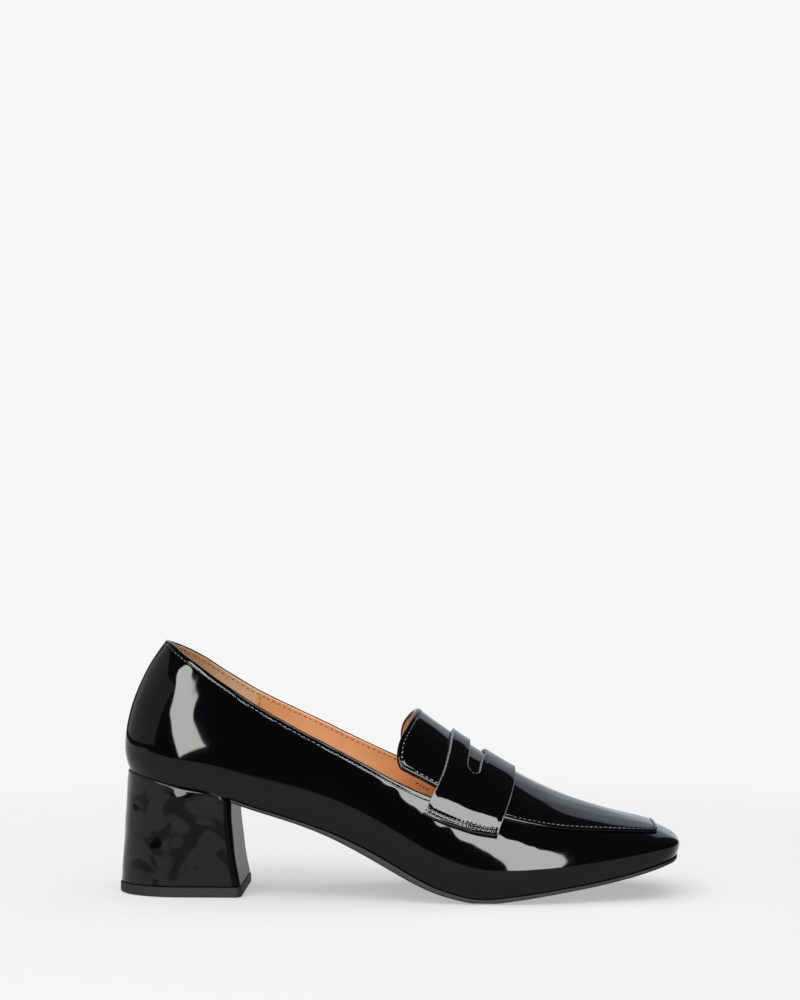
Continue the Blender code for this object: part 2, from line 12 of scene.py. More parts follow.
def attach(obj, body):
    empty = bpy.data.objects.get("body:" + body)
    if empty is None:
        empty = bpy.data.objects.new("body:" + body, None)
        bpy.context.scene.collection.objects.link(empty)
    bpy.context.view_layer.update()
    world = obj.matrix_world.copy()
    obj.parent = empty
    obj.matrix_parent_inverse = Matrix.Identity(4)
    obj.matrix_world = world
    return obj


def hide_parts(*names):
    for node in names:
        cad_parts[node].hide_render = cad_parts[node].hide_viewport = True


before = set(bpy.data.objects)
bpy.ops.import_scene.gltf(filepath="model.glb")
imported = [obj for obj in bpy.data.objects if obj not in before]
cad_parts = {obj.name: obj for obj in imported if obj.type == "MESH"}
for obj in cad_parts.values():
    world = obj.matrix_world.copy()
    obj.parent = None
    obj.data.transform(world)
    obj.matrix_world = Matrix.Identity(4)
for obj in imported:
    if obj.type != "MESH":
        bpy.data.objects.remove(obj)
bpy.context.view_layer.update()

# The last's sizes and tables, as in the CAD part.
LENGTH = 0.2450
BALL_WIDTH = 0.0795
SEAT_HEIGHT = 0.0534
TOE_HEIGHT = 0.0180
INSTEP_HEIGHT = 0.0793
UPPER_WALL = 0.0018
PLUG_RISE = 0.0011
TONGUE_WALL = 0.0024
TONGUE_CORNER = 0.0060
STRAP_WALL = 0.0015
STRAP_GAP = 0.0004
INSOLE_THICKNESS = 0.0030
SOLE_THICKNESS = 0.0035
SOLE_MARGIN = 0.0008
SOLE_BEVEL_WIDTH = 0.0035
SOLE_BEVEL_HEIGHT = 0.0008
HEEL_CORNER_TOP = 0.0060
HEEL_CORNER_BOTTOM = 0.0030
HEEL_LIP = 0.0004
TOP_PIECE_LIP = 0.0004
TOP_PIECE_HEIGHT = 0.0042
TOP_PIECE_CHAMFER = 0.0004
GAP = 0.0003

# Places along the shoe, measured from its middle, and the heel's width.
PLUG_FRONT = 0.4563 * LENGTH
TONGUE_BACK_SIDE = -0.0163 * LENGTH
TONGUE_BACK_RIDGE = 0.0278 * LENGTH
HEEL_BREAST_TOP = -0.2947 * LENGTH
HEEL_BREAST_BOTTOM = -0.2776 * LENGTH
HEEL_BACK_BOTTOM = -0.5004 * LENGTH
HEEL_WIDTH_BOTTOM = 0.585 * BALL_WIDTH

# Stations run from 0 at the back of the heel to 1 at the tip of the toe. The widest line's half widths are
# shares of BALL_WIDTH.
OUTLINE_BACK, OUTLINE_TOE = -0.4945, 0.4990
OUTLINE = {
    "along": (0, 0.05, 0.10, 0.15, 0.20, 0.30, 0.40, 0.50, 0.60, 0.70, 0.80, 0.90, 0.95, 1),
    "lateral": (0, 0.124, 0.211, 0.279, 0.322, 0.358, 0.392, 0.457, 0.505, 0.462, 0.375, 0.287, 0.188, 0),
    "medial": (0, 0.124, 0.213, 0.285, 0.327, 0.345, 0.335, 0.392, 0.488, 0.472, 0.395, 0.307, 0.202, 0),
}
# Where each station meets the ridge, the height of its widest line over the feather line, how far the
# feather line lies inside it, and the fullness of the section on each side (2 is an ellipse).
SECTIONS = {
    "along": (0, 0.10, 0.20, 0.30, 0.40, 0.50, 0.60, 0.70, 0.80, 0.90, 1),
    "ridge_x": (-0.270, -0.245, -0.204, -0.143, -0.041, 0.0735, 0.196, 0.298, 0.371, 0.404, 0.416),
    "ridge_y": (0, 0, 0, 0.015, 0.040, 0.066, 0.074, 0.062, 0.043, 0.025, 0.019),
    "girth_z": (0.93, 1.00, 1.10, 1.20, 1.30, 1.30, 1.10, 0.90, 0.75, 0.58, 0.45),
    "tuck": (0.20, 0.20, 0.20, 0.22, 0.26, 0.24, 0.18, 0.16, 0.15, 0.17, 0.20),
    "full_lateral": (1.80, 1.86, 1.98, 2.05, 2.00, 1.95, 1.85, 1.80, 2.00, 2.20, 2.30),
    "full_medial": (1.80, 1.86, 2.00, 2.12, 2.20, 2.25, 2.25, 2.20, 2.20, 2.25, 2.30),
}
GIRTH_STEP = 0.010
# The ridge's height at shares of LENGTH from the middle, in shares of INSTEP_HEIGHT. Behind the tongue it is
# the top of the last, which the open collar leaves out.
RIDGE = {
    "x": (-0.270, -0.143, -0.041, 0.026, 0.090, 0.158, 0.203, 0.245, 0.295, 0.345, 0.396, 0.416),
    "height": (1.652, 1.393, 1.160, 1.000, 0.856, 0.723, 0.643, 0.576, 0.509, 0.460, 0.4175, 0.4035),
}
RIDGE_SLOPE_FROM, RIDGE_SLOPE_TO = 0.15, 0.42
# The sole's underside and thickness at shares of LENGTH. Heights are shares of SEAT_HEIGHT behind the ball
# and of TOE_HEIGHT in front of it; what dips below the floor is cut flat, which gives the tread. Thicknesses
# are shares of SOLE_THICKNESS.
PROFILE = {
    "x": (-0.500, -0.455, -0.385, -0.330, -0.270, -0.168, -0.114, -0.061, -0.009, 0.044, 0.096, 0.150),
    "height": (0.990, 0.935, 0.860, 0.812, 0.725, 0.580, 0.482, 0.362, 0.232, 0.108, 0.030, -0.010),
}
PROFILE_FRONT = {
    "x": (0.150, 0.196, 0.240, 0.288, 0.359, 0.420, 0.457, 0.500),
    "height": (-0.010, 0.040, 0.125, 0.228, 0.395, 0.580, 0.720, 0.880),
}
SOLE = {
    "x": (-0.500, -0.270, -0.168, -0.114, -0.061, -0.009, 0.044, 0.096, 0.150, 0.240, 0.500),
    "thickness": (0.514, 0.514, 0.571, 0.743, 0.943, 1.000, 0.857, 0.686, 0.657, 0.600, 0.571),
}
# The collar's edge as a share of each station's height, from its widest line to its ridge.
COLLAR = {
    "along": (0, 0.05, 0.10, 0.15, 0.20, 0.25, 0.30, 0.35, 0.40, 0.45, 0.50, 0.55, 0.60),
    "lateral": (0.693, 0.700, 0.695, 0.680, 0.643, 0.566, 0.484, 0.421, 0.384, 0.391, 0.432, 0.512, 0.562),
    "medial": (0.693, 0.694, 0.693, 0.686, 0.652, 0.573, 0.496, 0.449, 0.428, 0.445, 0.510, 0.582, 0.614),
}
# The seam of the plug as a share of the way out from the ridge to the widest line, seen from above.
SEAM = {
    "along": (0.55, 0.60, 0.70, 0.80, 0.90, 1),
    "out": (0.830, 0.805, 0.765, 0.745, 0.750, 0.750),
}
SEAM_CORNER_POWER = 12
THROAT = 0.590
THROAT_BLEND = 0.035

# The strap's edges and the middle and half width of its slot, from the strap's lower end to the ridge, as
# shares of LENGTH from the middle of the shoe.
STRAP = {
    "rise": (0, 0.3, 0.7, 1),
    "back": (0.0433, 0.0718, 0.0865, 0.0886),
    "front": (0.1724, 0.1886, 0.2008, 0.2014),
    "slot_middle": (0.1265, 0.1250, 0.1306, 0.1361),
    "slot_half": (0.0104, 0.0104, 0.0110, 0.0159),
}
# Where the strap's lower end and the slot's lie up the wall, the slot's rounding as a share of its length,
# and where the strap climbs from the wall onto the plug, below the plug's edge.
STRAP_END_BACK_V, STRAP_END_FRONT_V = 0.355, 0.390
SLOT_END_V = 0.690
SLOT_ROUND_SHARE = 0.12
STRAP_CLIMB_FROM, STRAP_CLIMB_TO = 0.10, 0.01

# How far the tongue's edge lies above the upper's, beside the collar and at the plug, how far behind the
# throat it is at its full rise, its gap to the plug in stations, and its corner as a share of its width.
TONGUE_EDGE_RISE = 0.05
TONGUE_EDGE_CLEAR = 0.008
TONGUE_RISE_STATIONS = 0.08
TONGUE_END_CLEAR = 0.0012
TONGUE_CORNER_SHARE = 0.35

# How much of the heel's bottom outline is round, and how square that is (2 is an ellipse).
HEEL_ROUND_SHARE = 0.55
HEEL_ROUND_POWER = 2.2

# v at the widest line, the step of slopes, and the stations and steps of a search along the shoe.
GIRTH_V = 0.20
FINITE_STEP = 1e-4
SEARCH_FROM, SEARCH_TO, SEARCH_STEPS = 0.30, 0.98, 40
# A share of the reach that stands for no limit, and the least reach that is divided by.
NO_LIMIT = 5
LEAST_REACH = 1e-6


def spline(xs, ys, x):
    """The natural cubic spline through (xs, ys), read at x; it runs on straight past its ends."""
    xs, ys = np.asarray(xs, float), np.asarray(ys, float)
    x = np.asarray(x, float)
    count = len(xs)
    step = np.diff(xs)
    matrix, right = np.eye(count), np.zeros(count)
    for i in range(1, count - 1):
        matrix[i, i - 1 : i + 2] = step[i - 1], 2 * (step[i - 1] + step[i]), step[i]
        right[i] = 6 * ((ys[i + 1] - ys[i]) / step[i] - (ys[i] - ys[i - 1]) / step[i - 1])
    bend = np.linalg.solve(matrix, right)
    inside = np.clip(x, xs[0], xs[-1])
    i = np.clip(np.searchsorted(xs, inside) - 1, 0, count - 2)
    a, b, h = xs[i + 1] - inside, inside - xs[i], step[i]
    value = (bend[i] * a**3 + bend[i + 1] * b**3) / (6 * h)
    value = value + (ys[i] / h - bend[i] * h / 6) * a + (ys[i + 1] / h - bend[i + 1] * h / 6) * b
    slope = (bend[i + 1] * b**2 - bend[i] * a**2) / (2 * h)
    slope = slope + (ys[i + 1] - ys[i]) / h - (bend[i + 1] - bend[i]) * h / 6
    return value + slope * (x - inside)


def smooth(low, high, x):
    """0 at low, 1 at high, with level ends."""
    t = np.clip((np.asarray(x, float) - low) / (high - low), 0, 1)
    return t * t * (3 - 2 * t)


def under_z(x):
    """Height of the sole's underside at x, before the floor cuts it flat."""
    share = x / LENGTH
    back = spline(PROFILE["x"], PROFILE["height"], share) * SEAT_HEIGHT
    front = spline(PROFILE_FRONT["x"], PROFILE_FRONT["height"], share) * TOE_HEIGHT
    mix = smooth(PROFILE["x"][-2], PROFILE_FRONT["x"][1], share)
    return back * (1 - mix) + front * mix


def sole_thickness(x):
    return spline(SOLE["x"], SOLE["thickness"], x / LENGTH) * SOLE_THICKNESS


def feather_z(x):
    """Height of the upper's lower edge: the top of the sole, or of the heel, and a gap."""
    return under_z(x) + sole_thickness(x) + GAP


def ridge_z(x):
    return spline(RIDGE["x"], RIDGE["height"], x / LENGTH) * INSTEP_HEIGHT


def by_side(table, side, q):
    """A table's value on the outer or the inner side."""
    lateral, medial = (spline(table["along"], table[column], q) for column in ("lateral", "medial"))
    return np.where(side < 0, lateral, medial)


def girth_point(side, q):
    """The widest line in plan. side is -1 on the outer side and +1 on the inner side."""
    share = OUTLINE_BACK + (OUTLINE_TOE - OUTLINE_BACK) * (1 - np.cos(math.pi * q)) / 2
    return np.stack([share * LENGTH, side * by_side(OUTLINE, side, q) * BALL_WIDTH], -1)


def folded(side, q):
    """A station past either end of the shoe is on its other side."""
    side = np.where((q < 0) | (q > 1), -side, side)
    q = np.where(q < 0, -q, np.where(q > 1, 2 - q, q))
    return side, q


def girth_normal(side, q):
    """The widest line's outward direction in plan."""
    ahead = girth_point(*folded(side, q + FINITE_STEP))
    behind = girth_point(*folded(side, q - FINITE_STEP))
    along = ahead - behind
    along /= np.linalg.norm(along, axis=-1, keepdims=True)
    return np.stack([-side * along[..., 1], side * along[..., 0]], -1)


def section(column, q):
    return spline(SECTIONS["along"], SECTIONS[column], q)


def fullness(side, q):
    return np.where(side < 0, section("full_lateral", q), section("full_medial", q))


def feather_point(side, q, out=0.0):
    """The feather line in plan, moved outwards by out."""
    inset = section("tuck", q) * GIRTH_STEP - out
    return girth_point(side, q) - girth_normal(side, q) * inset[..., None]


def float_arrays(*values):
    return np.broadcast_arrays(*(np.asarray(value, float) for value in values))


def last_surface(side, q, v):
    """A point of the last's outer surface. v is 0 at the feather line, GIRTH_V at the widest line and 1 at
    the ridge, and past 1 it goes down the other side."""
    side, q, v = float_arrays(side, q, v)
    side, q = folded(side, q)
    side, v = np.where(v > 1, -side, side), np.where(v > 1, 2 - v, v)
    girth = girth_point(side, q)
    ridge_x = section("ridge_x", q) * LENGTH
    ridge = np.stack([ridge_x, section("ridge_y", q) * BALL_WIDTH], -1)
    feather = feather_point(side, q)
    low_z = feather_z(feather[..., 0])
    girth_z = low_z + section("girth_z", q) * GIRTH_STEP
    slope = (ridge_z(ridge_x + FINITE_STEP) - ridge_z(ridge_x - FINITE_STEP)) / (2 * FINITE_STEP)
    slope = slope * smooth(RIDGE_SLOPE_FROM, RIDGE_SLOPE_TO, q)
    drop = ridge_z(ridge_x) + slope * (girth[..., 0] - ridge_x) - girth_z

    angle = np.clip((v - GIRTH_V) / (1 - GIRTH_V), 0, 1) * math.pi / 2
    power = fullness(side, q)
    reach = (np.cos(angle) ** power + np.sin(angle) ** power) ** (-1 / power)
    out, up = reach * np.cos(angle), reach * np.sin(angle)
    plan = ridge + (girth - ridge) * out[..., None]
    z = ridge_z(ridge_x) + slope * (plan[..., 0] - ridge_x) - drop * (1 - up)

    below = np.clip(1 - v / GIRTH_V, 0, None)
    plan = plan + (feather - girth) * (below**2)[..., None]
    z = z - (girth_z - low_z) * below
    return np.concatenate([plan, z[..., None]], -1)


def last_normal(side, q, v):
    """The outward unit normal of the last's surface, the same from both sides where they meet."""
    side = np.where((q <= 0) | (q >= 1) | (v >= 1), -1, side)
    q = np.clip(q, 2 * FINITE_STEP, 1 - 2 * FINITE_STEP)
    along = last_surface(side, q + FINITE_STEP, v) - last_surface(side, q - FINITE_STEP, v)
    up = last_surface(side, q, v + FINITE_STEP) - last_surface(side, q, np.maximum(v - FINITE_STEP, 0))
    normal = np.cross(along, up) * -np.asarray(side, float)[..., None]
    return normal / np.linalg.norm(normal, axis=-1, keepdims=True)


def raised(side, q, v, offset):
    side, q, v = float_arrays(side, q, v)
    return last_surface(side, q, v) + last_normal(side, q, v) * np.asarray(offset, float)[..., None]


def v_at(up, out):
    """The v of a point on the section, at shares of its height and its width."""
    return GIRTH_V + (1 - GIRTH_V) * np.arctan2(up, out) / (math.pi / 2)


def other_share(side, q, share):
    """The section's share of width for one of height, and the other way round."""
    power = fullness(side, q)
    return (1 - share**power) ** (1 / power)


def collar_v(side, q):
    up = by_side(COLLAR, side, q)
    return v_at(up, other_share(side, q, up))


def seam_v(side, q):
    """The plug's seam: along the sides from the table, and straight across the toe at PLUG_FRONT."""
    ridge_x = section("ridge_x", q) * LENGTH
    reach = np.maximum(girth_point(side, q)[..., 0] - ridge_x, LEAST_REACH)
    front = (PLUG_FRONT - ridge_x) / reach
    front = np.where((front <= 0) | (front > NO_LIMIT), NO_LIMIT, front)
    across = spline(SEAM["along"], SEAM["out"], q)
    out = (front**-SEAM_CORNER_POWER + across**-SEAM_CORNER_POWER) ** (-1 / SEAM_CORNER_POWER)
    return v_at(other_share(side, q, out), out)


def edge_v(side, q):
    """The top of the side wall: the collar behind the throat and the plug's seam in front of it."""
    mix = smooth(THROAT - THROAT_BLEND, THROAT + THROAT_BLEND, q)
    return collar_v(side, np.minimum(q, COLLAR["along"][-1])) * (1 - mix) + seam_v(
        side, np.maximum(q, SEAM["along"][0])
    ) * mix


def station_at(side, v_of, x, high):
    """The last station up to high whose surface isn't past x, and the first that is. v_of says the v at a
    station."""
    low, high = np.full_like(x, SEARCH_FROM), np.full_like(x, high)
    for _ in range(SEARCH_STEPS):
        middle = (low + high) / 2
        ahead = last_surface(side, middle, v_of(middle))[..., 0] > x
        low, high = np.where(ahead, low, middle), np.where(ahead, middle, high)
    return low, high


def floor_point(plan, z):
    return np.concatenate([plan, np.asarray(z)[..., None]], -1)


def tongue_v(side, q, share):
    """The v of a share of the way from the tongue's edge to the ridge."""
    rise = TONGUE_EDGE_RISE * smooth(THROAT, THROAT - TONGUE_RISE_STATIONS, q)
    edge = edge_v(side, q) + rise + TONGUE_EDGE_CLEAR
    return edge + (1 - edge) * share


def tongue_ends(side, share):
    """The stations of the tongue's back edge, which has a round corner, and of its front end."""
    corner = TONGUE_CORNER * (1 - np.sqrt(1 - np.clip(1 - share / TONGUE_CORNER_SHARE, 0, 1) ** 2))
    lean = np.sin(share * math.pi / 2)
    back_x = TONGUE_BACK_SIDE + (TONGUE_BACK_RIDGE - TONGUE_BACK_SIDE) * lean + corner
    front_q = THROAT - TONGUE_END_CLEAR
    return station_at(side, lambda q: tongue_v(side, q, share), back_x, front_q)[0], front_q


def strap_lift(side, q, v):
    """How far the strap's underside lies off the last: it climbs onto the plug below the plug's edge."""
    edge = edge_v(side + 0 * q, q)
    return STRAP_GAP + PLUG_RISE * smooth(edge - STRAP_CLIMB_FROM, edge - STRAP_CLIMB_TO, v)


def breast_stations(x):
    """The stations of both sides where the sole's outline reaches x."""
    q = np.linspace(0.1, 0.6, 501)
    return [np.interp(x, feather_point(side + 0 * q, q)[:, 0], q) for side in (-1.0, 1.0)]


def corner_rounded(x, y, breast, radius):
    """y drawn in where x comes within radius of the breast."""
    near = np.clip((x - breast) / radius + 1, 0, 1)
    return y - np.sign(y) * radius * (1 - np.sqrt(1 - near**2))


def heel_seat(side, share):
    """The heel's top outline at shares of the way from its back to its breast."""
    q = np.linspace(0, 0.5, 801)
    plan = feather_point(side + 0 * q, q, HEEL_LIP)
    x = plan[0, 0] + (HEEL_BREAST_TOP - plan[0, 0]) * share
    y = np.interp(x, plan[:, 0], plan[:, 1])
    return x, corner_rounded(x, y, HEEL_BREAST_TOP, HEEL_CORNER_TOP)


def heel_foot(side, share, lip=0.0):
    """The heel's bottom outline: round behind and straight towards the breast."""
    back, breast = HEEL_BACK_BOTTOM - lip, HEEL_BREAST_BOTTOM + lip
    half = HEEL_WIDTH_BOTTOM / 2 + lip
    turn = np.clip(share / HEEL_ROUND_SHARE, 0, 1)
    x = back + (breast - back) * share
    y = side * half * (1 - (1 - turn) ** HEEL_ROUND_POWER) ** (1 / HEEL_ROUND_POWER)
    return x, corner_rounded(x, y, breast, HEEL_CORNER_BOTTOM)


def heel_point(side, share, t):
    """The heel's side at shares of the way forwards, and at t of the way down from its seat."""
    seat_x, seat_y = heel_seat(side, share)
    foot_x, foot_y = heel_foot(side, share)
    seat_z = feather_z(seat_x) - GAP
    flare = t ** (1 + share)
    x = seat_x + (foot_x - seat_x) * flare
    y = seat_y + (foot_y - seat_y) * flare
    z = seat_z + (TOP_PIECE_HEIGHT + GAP - seat_z) * t
    return np.stack([x, y, z], -1)


def top_piece_levels(share):
    """The top piece's outlines from its top to the floor, with a small chamfer at both."""
    inset = TOP_PIECE_LIP - TOP_PIECE_CHAMFER
    levels = []
    for lip, z in (
        (inset, TOP_PIECE_HEIGHT),
        (TOP_PIECE_LIP, TOP_PIECE_HEIGHT - TOP_PIECE_CHAMFER),
        (TOP_PIECE_LIP, TOP_PIECE_CHAMFER),
        (inset, 0.0),
    ):
        outlines = [heel_foot(side, share, lip) for side in (-1.0, 1.0)]
        levels.append([np.stack([x, y, z + 0 * x], -1) for x, y in outlines])
    return levels


# From here on the sizes and functions are only for the looks. IN is how far inside an edge something lies.
SIDES = (-1.0, 1.0)
LINE_POINTS = 400
WELD_STEPS = 1e7

# The rows of the upper's wall: below the widest line, above it, and at set distances from the edge. Those are
# drawn closer where they would take more than NEAR_SHARE of the wall. Above the widest line the waves begin.
LOW_ROWS, MIDDLE_ROWS = 9, 31
NEAR_ROWS = np.array([8, 6.5, 5.2, 4.2, 3.4, 2.8, 2.3, 2.0, 1.75, 1.5, 1.3, 1.1, 0.9, 0.6, 0.3, 0]) * 1e-3
NEAR_SHARE = 0.75
BACK_STATIONS, FRONT_STATIONS = 171, 141
UPPER_CALM = (1.1 * GIRTH_V, 2.2 * GIRTH_V)

# The collar's round bead, of which the first rows are patent and the rest is lining, and its stitches.
BEAD_STEPS = 10
BEAD_PATENT_ROWS = 7
COLLAR_FADE = 0.004
COLLAR_STITCH_FROM, COLLAR_STITCH_TO = 0.004, 0.545
COLLAR_STITCH_IN, COLLAR_STITCH_DEPTH, COLLAR_DENT_WIDTH = 0.0013, 0.00012, 0.0004
COLLAR_STITCH_PROUD = 0.6
LINING_STITCH_IN = 0.0009
LINING_STITCH_PROUD = 0.1

# The suede grip inside the heel ends at a seam, whose stitches lie just in front of it. Beside the throat is
# a short tack on the inner side.
GRIP_END = 0.308
GRIP_STITCH_AHEAD = 0.006
GRIP_STITCH_FROM = 0.7 * GIRTH_V
GRIP_STITCH_CLEAR = 0.020
GRIP_STITCH_POINTS = 60
TACK_FROM, TACK_TO, TACK_V = 0.5120, 0.5280, 0.389
TACK_POINTS = 40

# The plug's rounded and puffed edge, the groove and the stitches at its seam, and the rows from there to the
# ridge. The rows at set distances take at most PLUG_RUN_SHARE of the way.
SEAM_ROUND, SEAM_TURNS = 0.00055, 7
SEAM_PUFF, SEAM_PUFF_IN, SEAM_PUFF_WIDTH = 0.00020, 0.0010, 0.0005
SEAM_GROOVE, SEAM_GROOVE_WIDTH = 0.00030, 0.0007
SEAM_STITCH_IN, SEAM_STITCH_DEPTH, SEAM_DENT_WIDTH = 0.0019, 0.00022, 0.0003
SEAM_STITCH_PROUD = 0.5
PLUG_RUN = np.array([0.9, 1.2, 1.45, 1.65, 1.8, 1.95, 2.1, 2.35, 2.8, 3.6, 4.8]) * 1e-3
PLUG_RUN_SHARE = 0.5
PLUG_ROWS = 31
PLUG_CALM = 0.05

# The tongue's grid, its rounded border, the low fold along it and its stitches.
TONGUE_ROWS, TONGUE_COLUMNS, TONGUE_EASE = 56, 80, 1.5
TONGUE_BORDER_POINTS = 1500
TONGUE_ROUND = 0.0010
TONGUE_LINING_IN = 0.8 * TONGUE_ROUND
TONGUE_FOLD, TONGUE_FOLD_IN, TONGUE_FOLD_WIDTH = 0.00015, 0.0012, 0.0005
TONGUE_STITCH_IN, TONGUE_STITCH_DEPTH, TONGUE_DENT_WIDTH = 0.0021, 0.00018, 0.00035
TONGUE_STITCH_OFF = 0.5
TONGUE_CALM = (0.001, 0.004)

# The strap's grid: close rows at its ends, where STRAP_SPEED metres go to a unit of v, wider ones up to the
# slot, and rows over the ridge. Then its edges, with a grey band that is partly painted highlight and a black
# band at the ends that is painted shade, the dents of its stitches and its waves.
STRAP_CLOSE_STEP, STRAP_CLOSE_TO = 0.00032, 0.0048
STRAP_WIDE_TO, STRAP_WIDE_ROWS = 0.0105, 8
STRAP_SPEED = 0.078
SLOT_CLEAR_V, STRAP_SLOT_ROWS = 0.02, 12
STRAP_RIDGE_ROWS, STRAP_RIDGE_EASE = 34, 1.7
STRAP_COLUMNS = 41
STRAP_BORDER_POINTS = 900
STRAP_ROUND, STRAP_ROUND_DROP = 0.00045, 0.7
STRAP_HIGHLIGHT_EDGE_WIDTH = 0.00055
STRAP_END_SHADE_WIDTH = 0.0010
STRAP_STITCH_ROWS = (0.0016, 0.0032)
STRAP_PIT_DEPTH, STRAP_PIT_WIDTH, STRAP_PITS = 0.00038, 0.00062, 17
STRAP_CALM = (0.0005, 0.003)

# The soft edges of sock and sole, and the steps round them and across.
SOCK_SOFT = 0.0006
SOLE_EDGE, SOLE_EDGE_STEP = 0.00025, 0.3
SOLE_POINTS, SOLE_ACROSS = 150, 8

# The heel's rounded edges and its levels, as shares of the way down, and where its front corner begins, which
# is painted shade.
HEEL_TOP_ROUND, HEEL_TOP_TURNS = 0.0012, 8
HEEL_LOW_ROUND, HEEL_LOW_STEP = 0.0005, 0.3
HEEL_LEVELS, HEEL_LOW_FROM, HEEL_LOW_MIDDLE = 60, 0.988, 0.994
HEEL_POINTS, HEEL_ACROSS, TOP_PIECE_ACROSS = 111, 24, 4
HEEL_SHADED_CORNER_SHARE = 0.93

# The patent's waves: how many are summed, the spread of their lengths and what brings the sum to its height,
# and the length, height and seed for each sheet.
WAVE_COUNT, WAVE_SPREAD, WAVE_SUM = 7, (0.6, 1.7), 2.6
UPPER_WAVES, FINE_WAVES = (0.0115, 0.00007, 4), (0.0062, 0.000014, 12)
PLUG_WAVES = TONGUE_WAVES = (0.0115, 0.00007, 9)
STRAP_WAVES, HEEL_WAVES = (0.016, 0.00007 * 1.2, 21), (0.014, 0.00016, 33)
HEEL_WAVE_FADE = 0.12

# A stitch: its size, and its rings at shares of its length with shares of its radius.
STITCH_LENGTH, STITCH_RADIUS, STITCH_PITCH = 0.0017, 0.00026, 0.0023
STITCH_RINGS = ((-0.5, 0.35), (-0.36, 0.85), (0.0, 1.0), (0.36, 0.85), (0.5, 0.35))
STITCH_SIDES = 6
STITCH_FLATNESS = 0.8
STITCH_STEP = 2e-4

# Materials: a shader's inputs, the noise that changes a grain's colour and the noise of the heel's painted
# reflection patches.
MATERIAL_SOCKETS = ("Base Color", "Roughness", "Specular IOR Level", "Coat Weight", "Coat Roughness")
GRAIN_NOISE, GRAIN_STOPS = 55, (0.3, 0.7)
PATCH_DETAIL, PATCH_DISTORTION, PATCH_STOPS = 1.5, 1.2, (0.44, 0.53)

# The room, and the floor's fade from what the lamps light to the room's level.
ROOM_LEVEL = 0.922
ROOM_DARK = (0.05, 0.05, 0.055)
FLOOR_LIT = 0.27
FLOOR_GLOW = 0.44
FLOOR_HEIGHT = -0.0001
FLOOR_CORNERS = ((-1.6, -0.55), (1.6, -0.55), (1.6, 1.15), (-1.6, 1.15))
FLOOR_FADE_FROM, FLOOR_FADE_TO = 0.20, 0.50

# The soft boxes: the place they aim at, azimuth, elevation, distance, width, height, radiance, roll, colour.
# The boxes only show in reflections, and the fills don't.
HEEL_SPOT, BALL_SPOT, MIDDLE_SPOT = (-0.09, -0.025, 0.08), (0.04, -0.036, 0.03), (0, 0, 0.05)
BOXES = {
    "left_box": (HEEL_SPOT, -32, 21.5, 1.5, 0.35, 1.50, 22.5, 26, (1, 1, 0.97)),
    "front_box": (BALL_SPOT, 15, 24, 1.5, 0.50, 1.45, 22.5, 0, (1, 1, 0.97)),
    "left_wall": (MIDDLE_SPOT, -95, 20, 1.7, 3.2, 1.2, 0.6, 0, (0.95, 0.97, 1)),
    "backdrop": (MIDDLE_SPOT, 180, 24, 1.2, 1.15, 1.25, 0.90, 0, (0.78, 0.87, 1)),
}
FILLS = {
    "ceiling": (MIDDLE_SPOT, 0, 89.9, 2.2, 4, 4, 2.3, 0, (1, 1, 1)),
    "fill": (MIDDLE_SPOT, -20, 40, 2.4, 2.4, 2.4, 3.2, 0, (1, 1, 1)),
}
CAMERA_PLACE = (0.031, -1.0, 0.160)
CAMERA_TILT, CAMERA_TURN = 90.66, 1.7756
CAMERA_LENS, CAMERA_SENSOR, CAMERA_NEAR = 81.72, 36, 0.01


def unit(a):
    return a / np.linalg.norm(a, axis=-1, keepdims=True)


def climb(side, q, v):
    """The surface's step for each unit of v, as a vector."""
    high, low = np.minimum(v + FINITE_STEP, 1), np.maximum(v - FINITE_STEP, 0)
    return (last_surface(side, q, high) - last_surface(side, q, low)) / (high - low)[..., None]


def climb_speed(side, q, v):
    return np.linalg.norm(climb(side, q, v), axis=-1)


def waves(points, length, height, seed):
    """Low soft waves over a surface, as patent leather has where it was pulled over the last."""
    draw = np.random.RandomState(seed)
    total = np.zeros(points.shape[:-1])
    for _ in range(WAVE_COUNT):
        direction = unit(draw.normal(size=3))
        number = 2 * math.pi / (length * draw.uniform(*WAVE_SPREAD))
        total += np.sin(points @ (direction * number) + draw.uniform(0, 2 * math.pi))
    return total * height / WAVE_SUM


def bump(distance, centre, width):
    return np.exp(-(((distance - centre) / width) ** 2))


def rounding(gap, radius):
    """How high a rounded border stands, as a share, at a gap from its edge."""
    return np.sqrt(1 - (1 - np.clip(gap / radius, 0, 1)) ** 2)


def quads(points, wrap=False):
    """Four-sided faces over a grid of points, as an array."""
    points = np.asarray(points)
    if wrap:
        points = np.concatenate([points, points[:, :1]], 1)
    corners = [points[:-1, :-1], points[:-1, 1:], points[1:, 1:], points[1:, :-1]]
    return np.stack(corners, 2).reshape(-1, 4, 3)


def cells(mask):
    """The faces of a grid that have two opposite corners in a mask of its points."""
    return (mask[:-1, :-1] & mask[1:, 1:]).reshape(-1)


def measure(line):
    """How far along a line each of its points is."""
    return np.concatenate([[0], np.cumsum(np.linalg.norm(np.diff(line, axis=0), axis=-1))])


def read_line(line, along, at):
    return np.stack([np.interp(at, along, line[:, k]) for k in range(3)], -1)


def dense(line, count):
    """A line of points cut into many even steps."""
    along = measure(line)
    return read_line(line, along, np.linspace(0, along[-1], count))


def nearest(points, line):
    """The distance of each point of a grid to the nearest point of a line."""
    gaps = [np.linalg.norm(row[:, None] - line[None], axis=-1).min(1) for row in points]
    return np.array(gaps)


def add_object(name, data):
    made = bpy.data.objects.new(name, data)
    bpy.context.scene.collection.objects.link(made)
    return made


